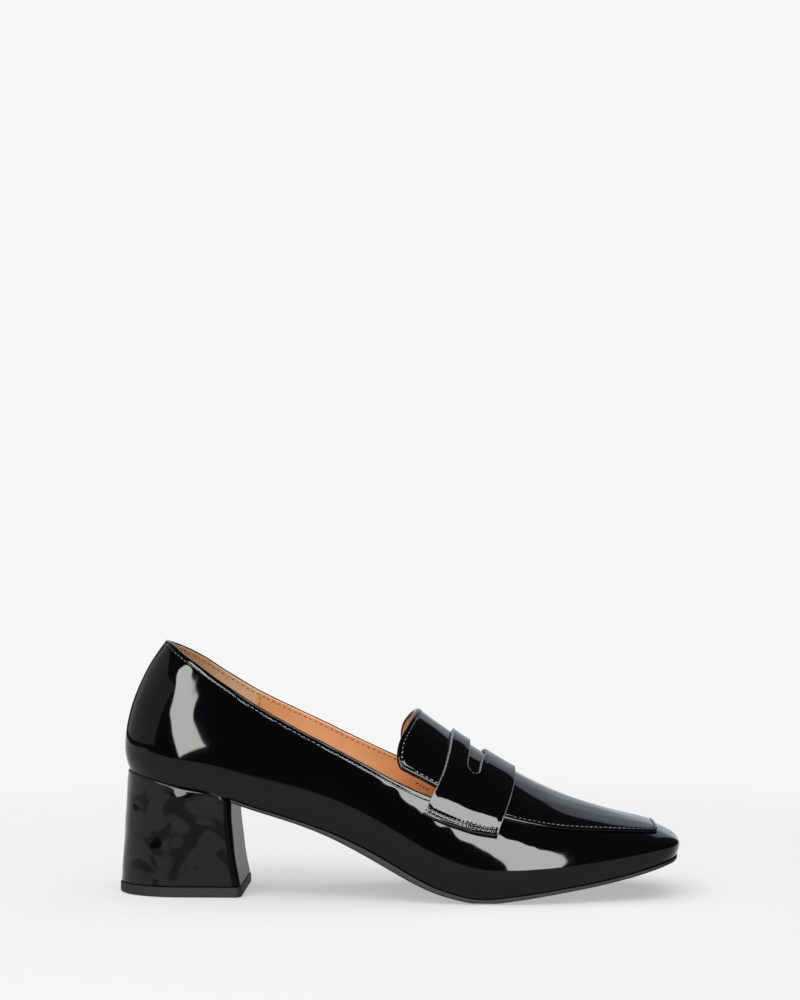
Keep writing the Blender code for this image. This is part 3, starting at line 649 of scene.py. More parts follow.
def piece(name, groups, replaces=(), sharp=38):
    """A mesh from groups of faces. Each group is a list of arrays or lists of faces, and its material."""
    faces = [np.asarray(face) for blocks, _ in groups for block in blocks for face in block]
    owner = [i for i, (blocks, _) in enumerate(groups) for block in blocks for _ in block]
    flat = np.concatenate(faces)
    keys = np.round(flat * WELD_STEPS).astype(np.int64)
    _, first, index = np.unique(keys, axis=0, return_index=True, return_inverse=True)
    index = index.reshape(-1)
    polygons, owners, start = [], [], 0
    for face, group in zip(faces, owner):
        polygon = list(dict.fromkeys(index[start : start + len(face)].tolist()))
        start += len(face)
        if len(polygon) > 2:
            polygons.append(polygon)
            owners.append(group)
    mesh = bpy.data.meshes.new(name)
    mesh.from_pydata(flat[first].tolist(), [], polygons)
    mesh.polygons.foreach_set("material_index", owners)
    for _, look in groups:
        mesh.materials.append(look)
    work = bmesh.new()
    work.from_mesh(mesh)
    bmesh.ops.recalc_face_normals(work, faces=work.faces)
    work.to_mesh(mesh)
    work.free()
    mesh.shade_smooth()
    mesh.set_sharp_from_angle(angle=math.radians(sharp))
    part = add_object(name, mesh)
    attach(part, "root")
    if replaces:
        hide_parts(*replaces)


def node(tree, kind, **values):
    """A shader node with values on its inputs. An underscore stands for a space in an input's name."""
    made = tree.nodes.new("ShaderNode" + kind)
    for name, value in values.items():
        made.inputs[name.replace("_", " ")].default_value = value
    return made


def material(name, colour, roughness, specular=0.5, coat=0.0, coat_roughness=0.03):
    made = bpy.data.materials.new(name)
    made.use_nodes = True
    sockets = made.node_tree.nodes["Principled BSDF"].inputs
    for socket, value in zip(MATERIAL_SOCKETS, ((*colour, 1), roughness, specular, coat, coat_roughness)):
        sockets[socket].default_value = value
    return made


def noise(tree, scale, detail=2.0, distortion=0.0):
    """Noise in the object's own coordinates."""
    made = node(tree, "TexNoise", Scale=scale, Detail=detail, Distortion=distortion)
    tree.links.new(node(tree, "TexCoord").outputs["Object"], made.inputs["Vector"])
    return made.outputs["Fac"]


def colour_ramp(tree, value, stops, colours, interpolation="LINEAR"):
    """The base colour from a value, with one colour at each stop."""
    ramp = node(tree, "ValToRGB")
    ramp.color_ramp.interpolation = interpolation
    for element, position, colour in zip(ramp.color_ramp.elements, stops, colours):
        element.position = position
        element.color = (*colour, 1)
    tree.links.new(value, ramp.inputs["Fac"])
    tree.links.new(ramp.outputs["Color"], tree.nodes["Principled BSDF"].inputs["Base Color"])


def grained(name, colour, roughness, specular, scale, depth, detail=3.0, change=0.0):
    """A material with fine grain and a little change of its colour."""
    made = material(name, colour, roughness, specular)
    tree = made.node_tree
    relief = node(tree, "Bump", Distance=depth)
    tree.links.new(noise(tree, scale, detail), relief.inputs["Height"])
    tree.links.new(relief.outputs["Normal"], tree.nodes["Principled BSDF"].inputs["Normal"])
    if change:
        dark, pale = ([c * share for c in colour] for share in (1 - change, 1 + change))
        colour_ramp(tree, noise(tree, GRAIN_NOISE), GRAIN_STOPS, (dark, pale))
    return made


def painted_reflection_patches(made, scale, dark, pale):
    """Painted reflection: patches of a paler and a darker black in the base colour, for the heel's blotchy
    reflections.
    """
    value = noise(made.node_tree, scale, PATCH_DETAIL, PATCH_DISTORTION)
    colour_ramp(made.node_tree, value, PATCH_STOPS, (dark, pale), "EASE")


PATENT = material("patent", (0.0011, 0.0011, 0.0016), 0.05, 0.23)
# A matte grey cut edge, partly painted highlight: its grey stands for the light the strap's rounded edges
# catch.
CUT_EDGE_AND_HIGHLIGHT = grained("cut_edge_and_painted_highlight", (0.10, 0.10, 0.105), 0.45, 0.5, 1500, 0.00003)
# Painted shade: the strap's ends get a near-black band that hardly reflects, for the shade of the strap's
# thickness.
END_EDGE_PAINTED_SHADE = grained("end_edge_painted_shade", (0.006, 0.006, 0.0065), 0.55, 0.08, 1500, 0.00003)
QUARTER_LINING = grained("quarter_lining", (0.66, 0.31, 0.125), 0.52, 0.35, 1300, 0.00005, change=0.06)
GRIP_LINING = grained("grip_lining", (0.60, 0.40, 0.23), 0.62, 0.2, 1700, 0.00007, change=0.05)
SOCK = grained("sock", (0.66, 0.36, 0.17), 0.50, 0.35, 1300, 0.00005, change=0.06)
SOLE_RUBBER = grained("sole_rubber", (0.022, 0.022, 0.0215), 0.62, 0.12, 900, 0.00004)
TOP_RUBBER = grained("top_piece_rubber", (0.017, 0.017, 0.017), 0.62, 0.12, 900, 0.00004)
THREAD = material("black_thread", (0.010, 0.010, 0.011), 0.14, 1.0)
DULL_THREAD = material("dull_thread", (0.012, 0.012, 0.013), 0.34)
TAN_THREAD = material("tan_thread", (0.13, 0.055, 0.022), 0.60)
# The heel's patent carries painted reflection: its base colour has paler and darker patches for blotchy
# reflections.
HEEL_PATENT_PAINTED_REFLECTION = grained("heel_patent_painted_reflection", (0.0030, 0.0030, 0.0035), 0.06, 0.15, 62, 0.0012, 0.6)
painted_reflection_patches(HEEL_PATENT_PAINTED_REFLECTION, 60, (0.0010, 0.0010, 0.0014), (0.0115, 0.0115, 0.0128))
# Painted shade: the heel's front corner hardly reflects, so it shows as a dark band.
HEEL_CORNER_PAINTED_SHADE = material("heel_corner_painted_shade", (0.0030, 0.0030, 0.0035), 0.10, 0.05)
# Painted reflection: the heel breast's base colour is tinted blue for the bluish sheen it reflects.
HEEL_BREAST_PAINTED_REFLECTION = material("heel_breast_painted_reflection", (0.0030, 0.0065, 0.0120), 0.06, 0.0, 0.38, 0.08)


def surface_row(side, q, v, offset, facing=1):
    """A row of points off the last's surface, and its normals there, outwards or inwards by facing."""
    return raised(side, q, v, offset), last_normal(side, q, v) * facing


def stitch_rows(name, lines, slot, thread, length=STITCH_LENGTH, radius=STITCH_RADIUS, pitch=STITCH_PITCH):
    """Rows of short raised stitches. Each line is a row of points and the surface's normals there."""
    turns = np.linspace(0, 2 * math.pi, STITCH_SIDES + 1)[:-1]
    template = np.array([
        [
            (x * length, r * radius * math.cos(t), STITCH_FLATNESS * r * radius * math.sin(t))
            for t in turns
        ]
        for x, r in STITCH_RINGS
    ])
    faces = []
    for points, normals in lines:
        along = measure(points)
        count = max(int(along[-1] / pitch), 1)
        at = (np.arange(count) + 0.5) * along[-1] / count
        centre = read_line(points, along, at)
        normal = unit(read_line(normals, along, at))
        ahead = read_line(points, along, at + STITCH_STEP)
        behind = read_line(points, along, at - STITCH_STEP)
        tangent = unit(ahead - behind)
        beside = unit(np.cross(normal, tangent))
        for c, t, b, n in zip(centre, tangent, beside, normal):
            shape = c + template[..., :1] * t + template[..., 1:2] * b + template[..., 2:] * n
            faces += [quads(shape, True), shape[:1], shape[-1:]]
    piece(name, [(faces, thread)], sharp=60)


def wall_profile(side, q):
    """The side wall's v and outward offset from the feather line up to its edge, the edge's v, and how far
    the surface climbs there for each unit of v."""
    edge = edge_v(side, q)
    speed = climb_speed(side, q, edge)
    collar = 1 - smooth(THROAT - COLLAR_FADE, THROAT, q)
    edge = edge - collar * UPPER_WALL / 2 / speed
    squeeze = np.minimum(1, NEAR_SHARE * (edge - GIRTH_V) * speed / NEAR_ROWS[0])
    distance = NEAR_ROWS[:, None] * squeeze
    near = edge - distance / speed
    low = GIRTH_V * np.linspace(0, 1, LOW_ROWS)[:-1, None] + 0 * edge
    middle = GIRTH_V + (near[0] - GIRTH_V) * np.linspace(0, 1, MIDDLE_ROWS)[:-1, None]
    v = np.concatenate([low, middle, near])
    distance = np.concatenate([np.full_like(v[: len(v) - len(near)], np.inf), distance])
    offset = -collar * COLLAR_STITCH_DEPTH * bump(distance, COLLAR_STITCH_IN, COLLAR_DENT_WIDTH)
    offset = offset - (1 - collar) * SEAM_GROOVE * bump(distance, 0, SEAM_GROOVE_WIDTH)
    return v, offset, edge, speed


def collar_bead(side, q, edge, outside, inside):
    """The rows of the collar's round edge, from the outer wall over the top to the lining."""
    normal = last_normal(side, q, edge)
    up = unit(climb(side, q, edge))
    middle = (outside + inside) / 2
    radius = np.linalg.norm(outside - inside, axis=-1)[:, None] / 2
    rows = [outside]
    for angle in np.linspace(0, math.pi, BEAD_STEPS)[1:-1]:
        rows.append(middle + radius * (normal * math.cos(angle) + up * math.sin(angle)))
    return np.array([*rows, inside])


def plug_half(side, q):
    """One half of the plug, from its seam to the ridge: the rows of its patent and those of its lining."""
    edge = edge_v(side, q)
    speed = climb_speed(side, q, edge)
    turn = np.linspace(0, math.pi / 2, SEAM_TURNS)
    run = np.concatenate([SEAM_ROUND * (1 - np.cos(turn)), PLUG_RUN])
    rise = np.full(len(run), PLUG_RISE)
    rise[:SEAM_TURNS] = PLUG_RISE - SEAM_ROUND + SEAM_ROUND * np.sin(turn)
    rise = rise + SEAM_PUFF * bump(run, SEAM_PUFF_IN, SEAM_PUFF_WIDTH)
    rise = rise - SEAM_STITCH_DEPTH * bump(run, SEAM_STITCH_IN, SEAM_DENT_WIDTH)
    room = np.minimum(1, PLUG_RUN_SHARE * (1 - edge) * speed / run[-1])
    near = edge + run[:, None] * room / speed
    far = near[-1] + (1 - near[-1]) * np.linspace(0, 1, PLUG_ROWS)[1:, None]
    v = np.concatenate([near, far])
    lift = np.concatenate([rise, np.full(len(far), PLUG_RISE)])[:, None]
    lift = lift + smooth(0, PLUG_CALM, v - edge) * waves(last_surface(side, q, v), *PLUG_WAVES)
    lining_v = np.concatenate([edge[None], v[len(run) - 1 :]])
    return raised(side, q, v, lift), raised(side, q, lining_v, -UPPER_WALL)


def make_upper():
    back_row, front_row = np.linspace(0, THROAT, BACK_STATIONS), np.linspace(THROAT, 1, FRONT_STATIONS)
    q_row = np.concatenate([back_row, front_row[1:]])
    throat = BACK_STATIONS - 1
    q = np.concatenate([q_row, q_row[-2:0:-1]])
    side = np.concatenate([-np.ones(len(q_row)), np.ones(len(q_row) - 2)])
    count, last = len(q_row), len(q)
    v, offset, edge, _ = wall_profile(side, q)
    place = last_surface(side, q, v)
    calm = smooth(*UPPER_CALM, v)
    offset = offset + calm * waves(place, *UPPER_WAVES)
    offset = offset + calm * waves(place, *FINE_WAVES)
    outer = raised(side, q, v, offset)
    inner = raised(side, q, v, -UPPER_WALL)
    rim = feather_point(side, q, -UPPER_WALL)
    inner[0] = floor_point(rim, feather_z(rim[:, 0]))
    bead = collar_bead(side, q, edge, outer[-1], inner[-1])
    patent_bead, lining_bead = bead[: BEAD_PATENT_ROWS + 1], bead[BEAD_PATENT_ROWS:]

    # Columns run from the heel along the outer side to the toe and back along the inner side.
    grip = int(np.argmin(abs(q_row - GRIP_END)))
    behind = [*range(last - throat, last), *range(throat + 1)]
    heel_cup = [*range(last - grip, last), *range(grip + 1)]
    patent = [quads(outer, True), quads([outer[0], inner[0]], True), quads(patent_bead[:, behind])]
    lining_grip = [quads(inner[:, heel_cup]), quads(lining_bead[:, heel_cup])]
    lining_rest = [
        quads(inner[:, grip : last - grip + 1]),
        quads(lining_bead[:, last - throat : last - grip + 1]),
        quads(lining_bead[:, grip : throat + 1]),
    ]

    halves, unders = zip(*(plug_half(s, q_row[throat:]) for s in SIDES))
    top = np.concatenate([halves[0], halves[1][-2::-1]])
    under = np.concatenate([unders[0], unders[1][-2::-1]])
    patent.append(quads(top))
    patent.append(quads([outer[-1, throat:count], top[0]]))
    patent.append(quads([outer[-1, last - throat : count - 2 : -1], top[-1]]))
    lining_rest.append(quads(under))

    # The plug's back edge at the throat: one face at each end, where the bead meets it, and a band between.
    split = SEAM_TURNS + len(PLUG_RUN)
    for corner, way in ((throat, slice(None)), (last - throat, slice(None, None, -1))):
        over, below = top[way, 0], under[way, 0]
        patent.append([[bead[0, corner], *over[:split], below[1], below[0], *bead[-2:0:-1, corner]]])
    patent.append(quads([top[split - 1 : len(top) - split + 1, 0], under[1:-1, 0]]))
    groups = [(patent, PATENT), (lining_grip, GRIP_LINING), (lining_rest, QUARTER_LINING)]
    piece("upper_looks", groups, ["upper"], sharp=50)


def make_collar_stitches():
    outside, inside, grip = [], [], []
    q = np.linspace(COLLAR_STITCH_FROM, COLLAR_STITCH_TO, LINE_POINTS)
    rise = COLLAR_STITCH_PROUD * STITCH_RADIUS - COLLAR_STITCH_DEPTH
    drop = -UPPER_WALL - LINING_STITCH_PROUD * STITCH_RADIUS
    for side in SIDES:
        _, _, edge, speed = wall_profile(side, q)
        outside.append(surface_row(side, q, edge - COLLAR_STITCH_IN / speed, rise))
        inside.append(surface_row(side, q, edge - LINING_STITCH_IN / speed, drop, -1))
        top = float(edge_v(side, GRIP_END)) - GRIP_STITCH_CLEAR
        v = np.linspace(GRIP_STITCH_FROM, top, GRIP_STITCH_POINTS)
        grip.append(surface_row(side, GRIP_END + GRIP_STITCH_AHEAD, v, -UPPER_WALL, -1))
    stitch_rows("collar_stitches", outside, "patent_upper", THREAD)
    tan = {"radius": 0.00024, "length": 0.0016, "pitch": 0.0026}
    stitch_rows("lining_stitches", inside + grip, "patent_upper", TAN_THREAD, **tan)
    q = np.linspace(TACK_FROM, TACK_TO, TACK_POINTS)
    tack = [surface_row(1.0, q, TACK_V + 0 * q, -UPPER_WALL, -1)]
    stitch_rows("tack_stitches", tack, "patent_upper", THREAD, radius=0.00034, length=0.0009, pitch=0.0015)


def make_seam_stitches():
    """One row from the throat along the outer side, across the toe and back along the inner side."""
    q = np.linspace(THROAT + THROAT_BLEND, 1, LINE_POINTS)
    rise = PLUG_RISE - SEAM_STITCH_DEPTH + SEAM_STITCH_PROUD * STITCH_RADIUS
    halves = []
    for side in SIDES:
        edge = edge_v(side, q)
        speed = climb_speed(side, q, edge)
        halves.append(surface_row(side, q, edge + SEAM_STITCH_IN / speed, rise))
    line, normals = (np.concatenate([halves[0][k], halves[1][k][-2::-1]]) for k in range(2))
    stitch_rows("seam_stitches", [(line, normals)], "patent_upper", DULL_THREAD, length=0.0015, pitch=0.0021)


def tongue_stitch_lines(top, normal, gap):
    """The stitch row along the tongue's back edge and those along its sides, where the gap to the border is
    closest to TONGUE_STITCH_IN."""
    rows = np.arange(len(gap))
    picked = np.argmin(abs(gap[:, : TONGUE_COLUMNS // 2 + 1] - TONGUE_STITCH_IN), axis=1)
    off = abs(gap[rows, picked] / TONGUE_STITCH_IN - 1)
    keep = (gap.max(1) > TONGUE_STITCH_IN) & (off < TONGUE_STITCH_OFF)
    lines = [(top[rows, picked][keep], normal[rows, picked][keep])]
    columns = np.arange(TONGUE_COLUMNS // 3, TONGUE_COLUMNS)
    outer_rows = np.arange(TONGUE_ROWS // 2)
    for rows in (outer_rows, len(gap) - 1 - outer_rows):
        picked = rows[np.argmin(abs(gap[rows][:, columns] - TONGUE_STITCH_IN), axis=0)]
        lines.append((top[picked, columns], normal[picked, columns]))
    return lines


def make_tongue():
    share = np.linspace(0, 1, TONGUE_ROWS) ** TONGUE_EASE
    along = np.linspace(0, 1, TONGUE_COLUMNS) ** TONGUE_EASE
    maps = []
    for s in SIDES:
        low, front_q = tongue_ends(s, share)
        q = low[:, None] + (front_q - low[:, None]) * along
        maps.append((s + 0 * q, q, tongue_v(s, q, share[:, None])))
    side, q, v = (np.concatenate([maps[0][k], maps[1][k][-2::-1]]) for k in range(3))
    middle = PLUG_RISE - TONGUE_WALL / 2
    base = raised(side, q, v, middle)
    border = dense(np.concatenate([base[0][::-1], base[:, 0], base[-1]]), TONGUE_BORDER_POINTS)
    gap = nearest(base, border)
    gap[0], gap[-1], gap[:, 0] = 0, 0, 0
    half = TONGUE_WALL / 2 * rounding(gap, TONGUE_ROUND)
    fold = TONGUE_FOLD * bump(gap, TONGUE_FOLD_IN, TONGUE_FOLD_WIDTH)
    fold = fold - TONGUE_STITCH_DEPTH * bump(gap, TONGUE_STITCH_IN, TONGUE_DENT_WIDTH)
    ripple = waves(base, *TONGUE_WAVES) * smooth(*TONGUE_CALM, gap)
    top = raised(side, q, v, middle + half + fold + ripple)
    under = raised(side, q, v, middle - half)
    under_quads = quads(under)
    lining = cells(gap > TONGUE_LINING_IN)
    patent = [quads(top), under_quads[~lining], quads([top[:, -1], under[:, -1]])]
    groups = [(patent, PATENT), ([under_quads[lining]], QUARTER_LINING)]
    piece("tongue_looks", groups, ["tongue"], sharp=60)
    lines = tongue_stitch_lines(top, last_normal(side, q, v), gap)
    stitch_rows("tongue_stitches", lines, "patent_tongue", THREAD, length=0.0020, radius=0.00050)


def strap_sheet():
    """The strap's rows on one side: their v, how far up the strap's table they are, how open the slot is,
    how much they slant, and the first row of the slot."""
    close = np.arange(0, STRAP_CLOSE_TO, STRAP_CLOSE_STEP)
    near = np.concatenate([close, np.linspace(STRAP_CLOSE_TO, STRAP_WIDE_TO, STRAP_WIDE_ROWS)[1:]])
    end_v = (STRAP_END_BACK_V + STRAP_END_FRONT_V) / 2
    low_v = end_v + near / STRAP_SPEED
    low_v = low_v[low_v < SLOT_END_V - SLOT_CLEAR_V]
    low_v = np.concatenate([low_v, np.linspace(low_v[-1], SLOT_END_V, STRAP_SLOT_ROWS)[1:-1]])
    share = np.linspace(0, 1, STRAP_RIDGE_ROWS) ** STRAP_RIDGE_EASE
    v = np.concatenate([low_v, SLOT_END_V + (1 - SLOT_END_V) * share])
    opening = np.concatenate([0 * low_v, np.sqrt(1 - np.clip(1 - share / SLOT_ROUND_SHARE, 0, 1) ** 2)])
    low_share = (SLOT_END_V - low_v) / (SLOT_END_V - end_v)
    slant = np.concatenate([low_share, 0 * share]) * (STRAP_END_FRONT_V - STRAP_END_BACK_V)
    return v, (v - end_v) / (1 - end_v), opening, slant, len(low_v)


def strap_bands():
    """The strap behind and in front of its slot's middle line, each as grids of side, station, v and lift,
    and the first row of the slot."""
    v, rise, opening, slant, first_slot = strap_sheet()
    back, front, middle, half = (
        spline(STRAP["rise"], STRAP[column], rise) * LENGTH
        for column in ("back", "front", "slot_middle", "slot_half")
    )
    ease = (1 - np.cos(np.linspace(0, math.pi, STRAP_COLUMNS))) / 2
    bands = []
    for start, end in ((back, middle - half * opening), (middle + half * opening, front)):
        x = start[:, None] + (end - start)[:, None] * ease
        across = (x - back[:, None]) / (front - back)[:, None]
        rows = v[:, None] + slant[:, None] * (across - 0.5)
        both = []
        for s in SIDES:
            q = sum(station_at(s, lambda _: rows, x, SEARCH_TO)) / 2
            both.append((s + 0 * q, q, rows, strap_lift(s, q, rows)))
        bands.append([np.concatenate([both[0][k], both[1][k][-2::-1]]) for k in range(4)])
    return bands, first_slot


def strap_stitch_lines(bands, tops, first_slot):
    """The stitch rows at both ends of the strap, at STRAP_STITCH_ROWS from the end."""
    lines = []
    columns = np.arange(0, STRAP_COLUMNS, 2)
    low_rows = np.arange(first_slot)
    for rows in (low_rows, len(tops[0]) - 1 - low_rows):
        for depth in STRAP_STITCH_ROWS:
            points, normals = [], []
            for (side, q, v, _), top in zip(bands, tops):
                from_end = np.linalg.norm(top[rows][:, columns] - top[rows[0], columns], axis=-1)
                at = rows[np.argmin(abs(from_end - depth), axis=0)], columns
                points.append(top[at])
                normals.append(last_normal(side[at], q[at], v[at]))
            points, normals = np.concatenate(points), np.concatenate(normals)
            order = np.argsort(points[:, 0])
            points, normals = points[order], normals[order]
            first, last = points[0, 0] + STRAP_STITCH_ROWS[0], points[-1, 0] - STRAP_STITCH_ROWS[0]
            keep = (points[:, 0] > first) & (points[:, 0] < last)
            lines.append((points[keep], normals[keep]))
    return lines


def make_strap():
    bands, first_slot = strap_bands()
    tops = [raised(side, q, v, lift + STRAP_WALL) for side, q, v, lift in bands]
    unders = [raised(*band) for band in bands]
    count = len(tops[0])
    slot = slice(first_slot, count - first_slot)
    ends = [np.concatenate([tops[0][end], tops[1][end]]) for end in (0, -1)]
    ring = [tops[0][:, 0], tops[1][:, -1], *ends, tops[0][slot, -1], tops[1][slot, 0]]
    border = np.concatenate([dense(line, STRAP_BORDER_POINTS) for line in ring])
    end_border = np.concatenate([dense(line, STRAP_BORDER_POINTS) for line in ends])
    lines = strap_stitch_lines(bands, tops, first_slot)
    pits = np.concatenate([dense(points, STRAP_PITS) for points, _ in lines])
    shaped = []
    for (side, q, v, lift), top in zip(bands, tops):
        gap = nearest(top, border)
        drop = STRAP_ROUND * (1 - rounding(gap, STRAP_ROUND)) * STRAP_ROUND_DROP
        pit = STRAP_PIT_DEPTH * bump(nearest(top, pits), 0, STRAP_PIT_WIDTH)
        ripple = waves(top, *STRAP_WAVES) * smooth(*STRAP_CALM, gap)
        shaped.append(raised(side, q, v, lift + STRAP_WALL - drop - pit + ripple))
    beside_slot = [*range(first_slot + 1), *range(count - first_slot - 1, count)]
    for left, right in (shaped, unders):
        joint = (left[beside_slot, -1] + right[beside_slot, 0]) / 2
        left[beside_slot, -1] = joint
        right[beside_slot, 0] = joint
    patent, cut, shaded_end = [], [], []
    for sheet, top in zip(shaped, tops):
        # The band along the edges is a matte grey cut edge, partly painted highlight for the light its
        # rounding catches.
        rim = cells(nearest(top, border) < STRAP_HIGHLIGHT_EDGE_WIDTH)
        # The band along both ends is painted shade: a near-black material for the shade of the strap's
        # thickness.
        low = cells(nearest(top, end_border) < STRAP_END_SHADE_WIDTH)
        patent.append(quads(sheet)[~rim & ~low])
        cut.append(quads(sheet)[rim & ~low])
        shaded_end.append(quads(sheet)[low])
    cut += [quads(sheet) for sheet in unders]
    cut += [quads([shaped[band][:, k], unders[band][:, k]]) for band, k in ((0, 0), (1, -1))]
    shaded_end += [quads([shaped[band][end], unders[band][end]]) for end in (0, -1) for band in (0, 1)]
    cut += [quads([shaped[band][slot, k], unders[band][slot, k]]) for band, k in ((0, -1), (1, 0))]
    groups = [(patent, PATENT), (cut, CUT_EDGE_AND_HIGHLIGHT), (shaded_end, END_EDGE_PAINTED_SHADE)]
    piece("strap_looks", groups, ["strap"], sharp=55)
    stitch_rows("strap_stitches", lines, "patent_strap", THREAD, length=0.0016, radius=0.00028, pitch=0.0019)


def stack_quads(levels, across=1):
    """A solid's faces through levels from top to bottom, straight across between its two sides."""
    outer, inner = (np.array([level[k] for level in levels]) for k in (0, 1))
    t = np.linspace(0, 1, across + 1)[:, None, None]
    caps = [outer[i] * (1 - t) + inner[i] * t for i in (0, -1)]
    ends = [outer[:, i] * (1 - t) + inner[:, i] * t for i in (0, -1)]
    return [quads(grid) for grid in (outer, inner, *caps, *ends)]


def sole_level(q_start, out, height, drop=0.0):
    """Both sides of a sole's outline, moved outwards by out, at drop under a height that follows x."""
    level = []
    for side, start in zip(SIDES, q_start):
        q = np.linspace(start, 1, SOLE_POINTS + 1)
        plan = feather_point(side + 0 * q, q, out)
        level.append(floor_point(plan, height(plan[:, 0]) - drop))
    return level


def sole_top(x):
    return under_z(x) + sole_thickness(x)


def sole_low(x):
    return np.maximum(under_z(x), 0)


def make_soles():
    inset = -UPPER_WALL - GAP
    faces = stack_quads([
        sole_level((0, 0), inset - SOCK_SOFT, feather_z, -INSOLE_THICKNESS),
        sole_level((0, 0), inset, feather_z, SOCK_SOFT - INSOLE_THICKNESS),
        sole_level((0, 0), inset, feather_z),
    ], SOLE_ACROSS)
    piece("sock_looks", [(faces, SOCK)], ["insole"])
    start = breast_stations(HEEL_BREAST_TOP + GAP)
    step = SOLE_EDGE * SOLE_EDGE_STEP
    faces = stack_quads([
        sole_level(start, SOLE_MARGIN - SOLE_EDGE, sole_top),
        sole_level(start, SOLE_MARGIN - step, sole_top, step),
        sole_level(start, SOLE_MARGIN, sole_top, SOLE_EDGE),
        sole_level(start, SOLE_MARGIN, sole_low, -SOLE_BEVEL_HEIGHT - SOLE_EDGE),
        sole_level(start, SOLE_MARGIN - SOLE_EDGE, sole_low, -SOLE_BEVEL_HEIGHT),
        sole_level(start, SOLE_MARGIN - SOLE_BEVEL_WIDTH, sole_low),
    ], SOLE_ACROSS)
    piece("outsole_looks", [(faces, SOLE_RUBBER)], ["outsole"])


def heel_loop(share, t, inset):
    """One level of the heel, drawn in by inset, with the soft waves of the patent that covers it."""
    level = []
    middle = np.array([(HEEL_BREAST_TOP + HEEL_BACK_BOTTOM) / 2, 0, 0])
    fade = min(t, 1 - t) / HEEL_WAVE_FADE
    for side in SIDES:
        point = heel_point(side, share, t)
        toward = (point - middle) * (1, 1, 0)
        push = waves(point, *HEEL_WAVES) * smooth(0, 1, fade) - inset
        level.append(point + unit(toward) * push[:, None])
    return level


def make_heel():
    share = (1 - np.cos(np.linspace(0, math.pi, HEEL_POINTS))) / 2
    levels = []
    for a in np.linspace(0, math.pi / 2, HEEL_TOP_TURNS)[:-1]:
        down, inset = 1 - math.sin(math.pi / 2 - a), HEEL_TOP_ROUND * (1 - math.sin(a))
        levels.append(heel_loop(share, HEEL_TOP_ROUND * down / SEAT_HEIGHT, inset))
    for t in np.linspace(HEEL_TOP_ROUND / SEAT_HEIGHT, HEEL_LOW_FROM, HEEL_LEVELS):
        levels.append(heel_loop(share, t, 0))
    levels.append(heel_loop(share, HEEL_LOW_MIDDLE, HEEL_LOW_ROUND * HEEL_LOW_STEP))
    levels.append(heel_loop(share, 1.0, HEEL_LOW_ROUND))
    outer, inner, *caps, back, breast = stack_quads(levels, HEEL_ACROSS)
    # The front corner of the sides gets painted shade: a material that hardly reflects.
    corner = np.tile(share[:-1] > HEEL_SHADED_CORNER_SHARE, len(levels) - 1)
    groups = [
        ([outer[~corner], inner[~corner], *caps, back], HEEL_PATENT_PAINTED_REFLECTION),
        ([outer[corner], inner[corner]], HEEL_CORNER_PAINTED_SHADE),
        ([breast], HEEL_BREAST_PAINTED_REFLECTION),
    ]
    piece("heel_looks", groups, ["heel"], sharp=60)
    faces = stack_quads(top_piece_levels(share), TOP_PIECE_ACROSS)
    piece("top_piece_looks", [(faces, TOP_RUBBER)], ["heel_top_piece"])


def light_panel(name, target, azimuth, elevation, distance, width, height, radiance, roll, colour):
    """A soft box that is seen from target at azimuth, 0 in front and positive to the right, and elevation."""
    turn, rise = math.radians(azimuth), math.radians(elevation)
    away = Vector((math.sin(turn) * math.cos(rise), -math.cos(turn) * math.cos(rise), math.sin(rise)))
    lamp = bpy.data.lights.new(name, "AREA")
    lamp.shape = "RECTANGLE"
    lamp.size, lamp.size_y = width, height
    lamp.energy = radiance * math.pi * width * height
    lamp.color = colour
    made = add_object(name, lamp)
    facing = away.to_track_quat("Z", "Y").to_matrix().to_4x4()
    rolled = facing @ Matrix.Rotation(math.radians(roll), 4, "Z")
    made.matrix_world = Matrix.Translation(Vector(target) + away * distance) @ rolled
    return made


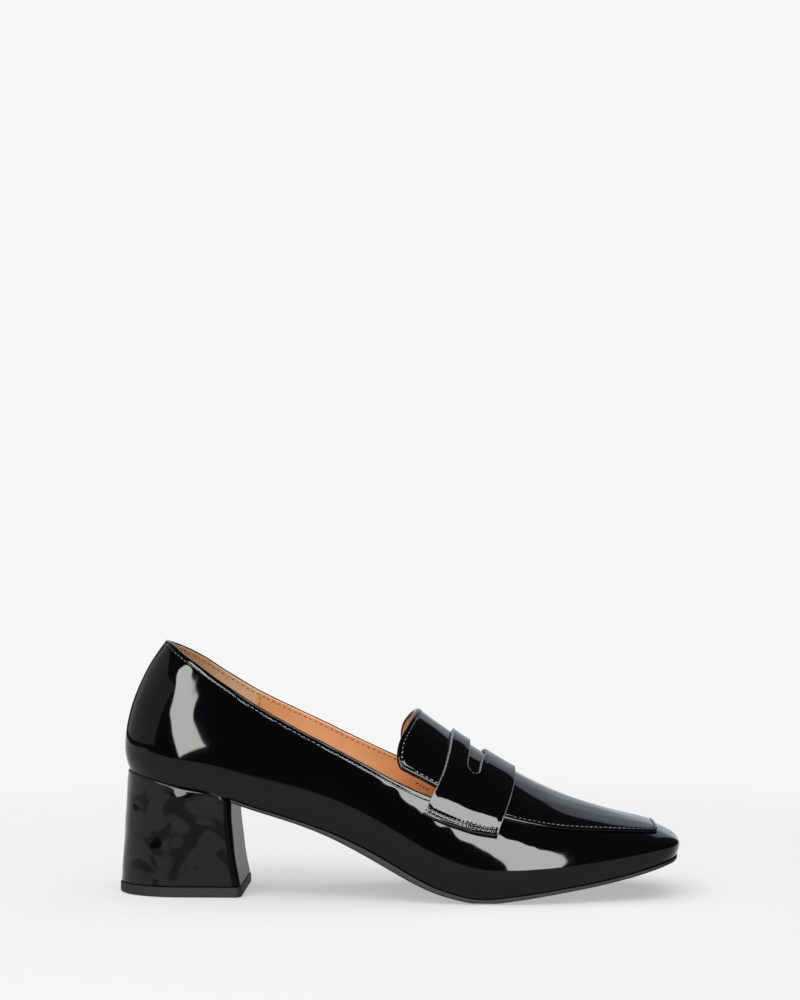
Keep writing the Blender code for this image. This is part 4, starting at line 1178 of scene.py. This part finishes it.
def make_floor():
    """A pale table. Near the shoe it takes its soft shadow, and further out it is as pale as the room."""
    mesh = bpy.data.meshes.new("floor")
    mesh.from_pydata([(x, y, FLOOR_HEIGHT) for x, y in FLOOR_CORNERS], [], [range(len(FLOOR_CORNERS))])
    paint = bpy.data.materials.new("floor_paint")
    paint.use_nodes = True
    tree = paint.node_tree
    tree.nodes.remove(tree.nodes["Principled BSDF"])
    length = node(tree, "VectorMath")
    length.operation = "LENGTH"
    fade = node(tree, "MapRange", From_Min=FLOOR_FADE_FROM, From_Max=FLOOR_FADE_TO)
    fade.interpolation_type = "SMOOTHSTEP"
    lit = node(tree, "BsdfDiffuse", Color=(FLOOR_LIT, FLOOR_LIT, FLOOR_LIT, 1))
    glow = node(tree, "Emission", Color=(1, 1, 1, 1), Strength=FLOOR_GLOW)
    far = node(tree, "Emission", Color=(1, 1, 1, 1), Strength=ROOM_LEVEL)
    both, mix = node(tree, "AddShader"), node(tree, "MixShader")
    for output, socket in (
        (node(tree, "TexCoord").outputs["Object"], length.inputs[0]),
        (length.outputs["Value"], fade.inputs["Value"]),
        (lit.outputs[0], both.inputs[0]),
        (glow.outputs[0], both.inputs[1]),
        (fade.outputs["Result"], mix.inputs["Fac"]),
        (both.outputs[0], mix.inputs[1]),
        (far.outputs[0], mix.inputs[2]),
        (mix.outputs[0], tree.nodes["Material Output"].inputs["Surface"]),
    ):
        tree.links.new(output, socket)
    mesh.materials.append(paint)
    add_object("floor", mesh)


def make_world():
    """The camera sees a pale backdrop, and the shoe a dark room around the soft boxes."""
    world = bpy.data.worlds.new("studio")
    bpy.context.scene.world = world
    world.use_nodes = True
    tree = world.node_tree
    tree.nodes.clear()
    mix = node(tree, "MixShader")
    tree.links.new(node(tree, "LightPath").outputs["Is Camera Ray"], mix.inputs["Fac"])
    for slot, colour in ((1, ROOM_DARK), (2, (ROOM_LEVEL, ROOM_LEVEL, ROOM_LEVEL))):
        tree.links.new(node(tree, "Background", Color=(*colour, 1)).outputs[0], mix.inputs[slot])
    tree.links.new(mix.outputs[0], node(tree, "OutputWorld").inputs["Surface"])


def make_lights():
    for name, values in BOXES.items():
        light_panel(name, *values).visible_diffuse = False
    for name, values in FILLS.items():
        light_panel(name, *values).visible_glossy = False


def make_camera():
    lens = bpy.data.cameras.new("camera")
    lens.sensor_width = CAMERA_SENSOR
    lens.lens = CAMERA_LENS
    lens.clip_start = CAMERA_NEAR
    camera = add_object("camera", lens)
    camera.location = CAMERA_PLACE
    camera.rotation_euler = (math.radians(CAMERA_TILT), 0, math.radians(CAMERA_TURN))
    bpy.context.scene.camera = camera


make_upper()
make_collar_stitches()
make_seam_stitches()
make_tongue()
make_strap()
make_soles()
make_heel()
make_floor()
make_world()
make_lights()
make_camera()
bpy.context.scene.view_settings.view_transform = "Standard"
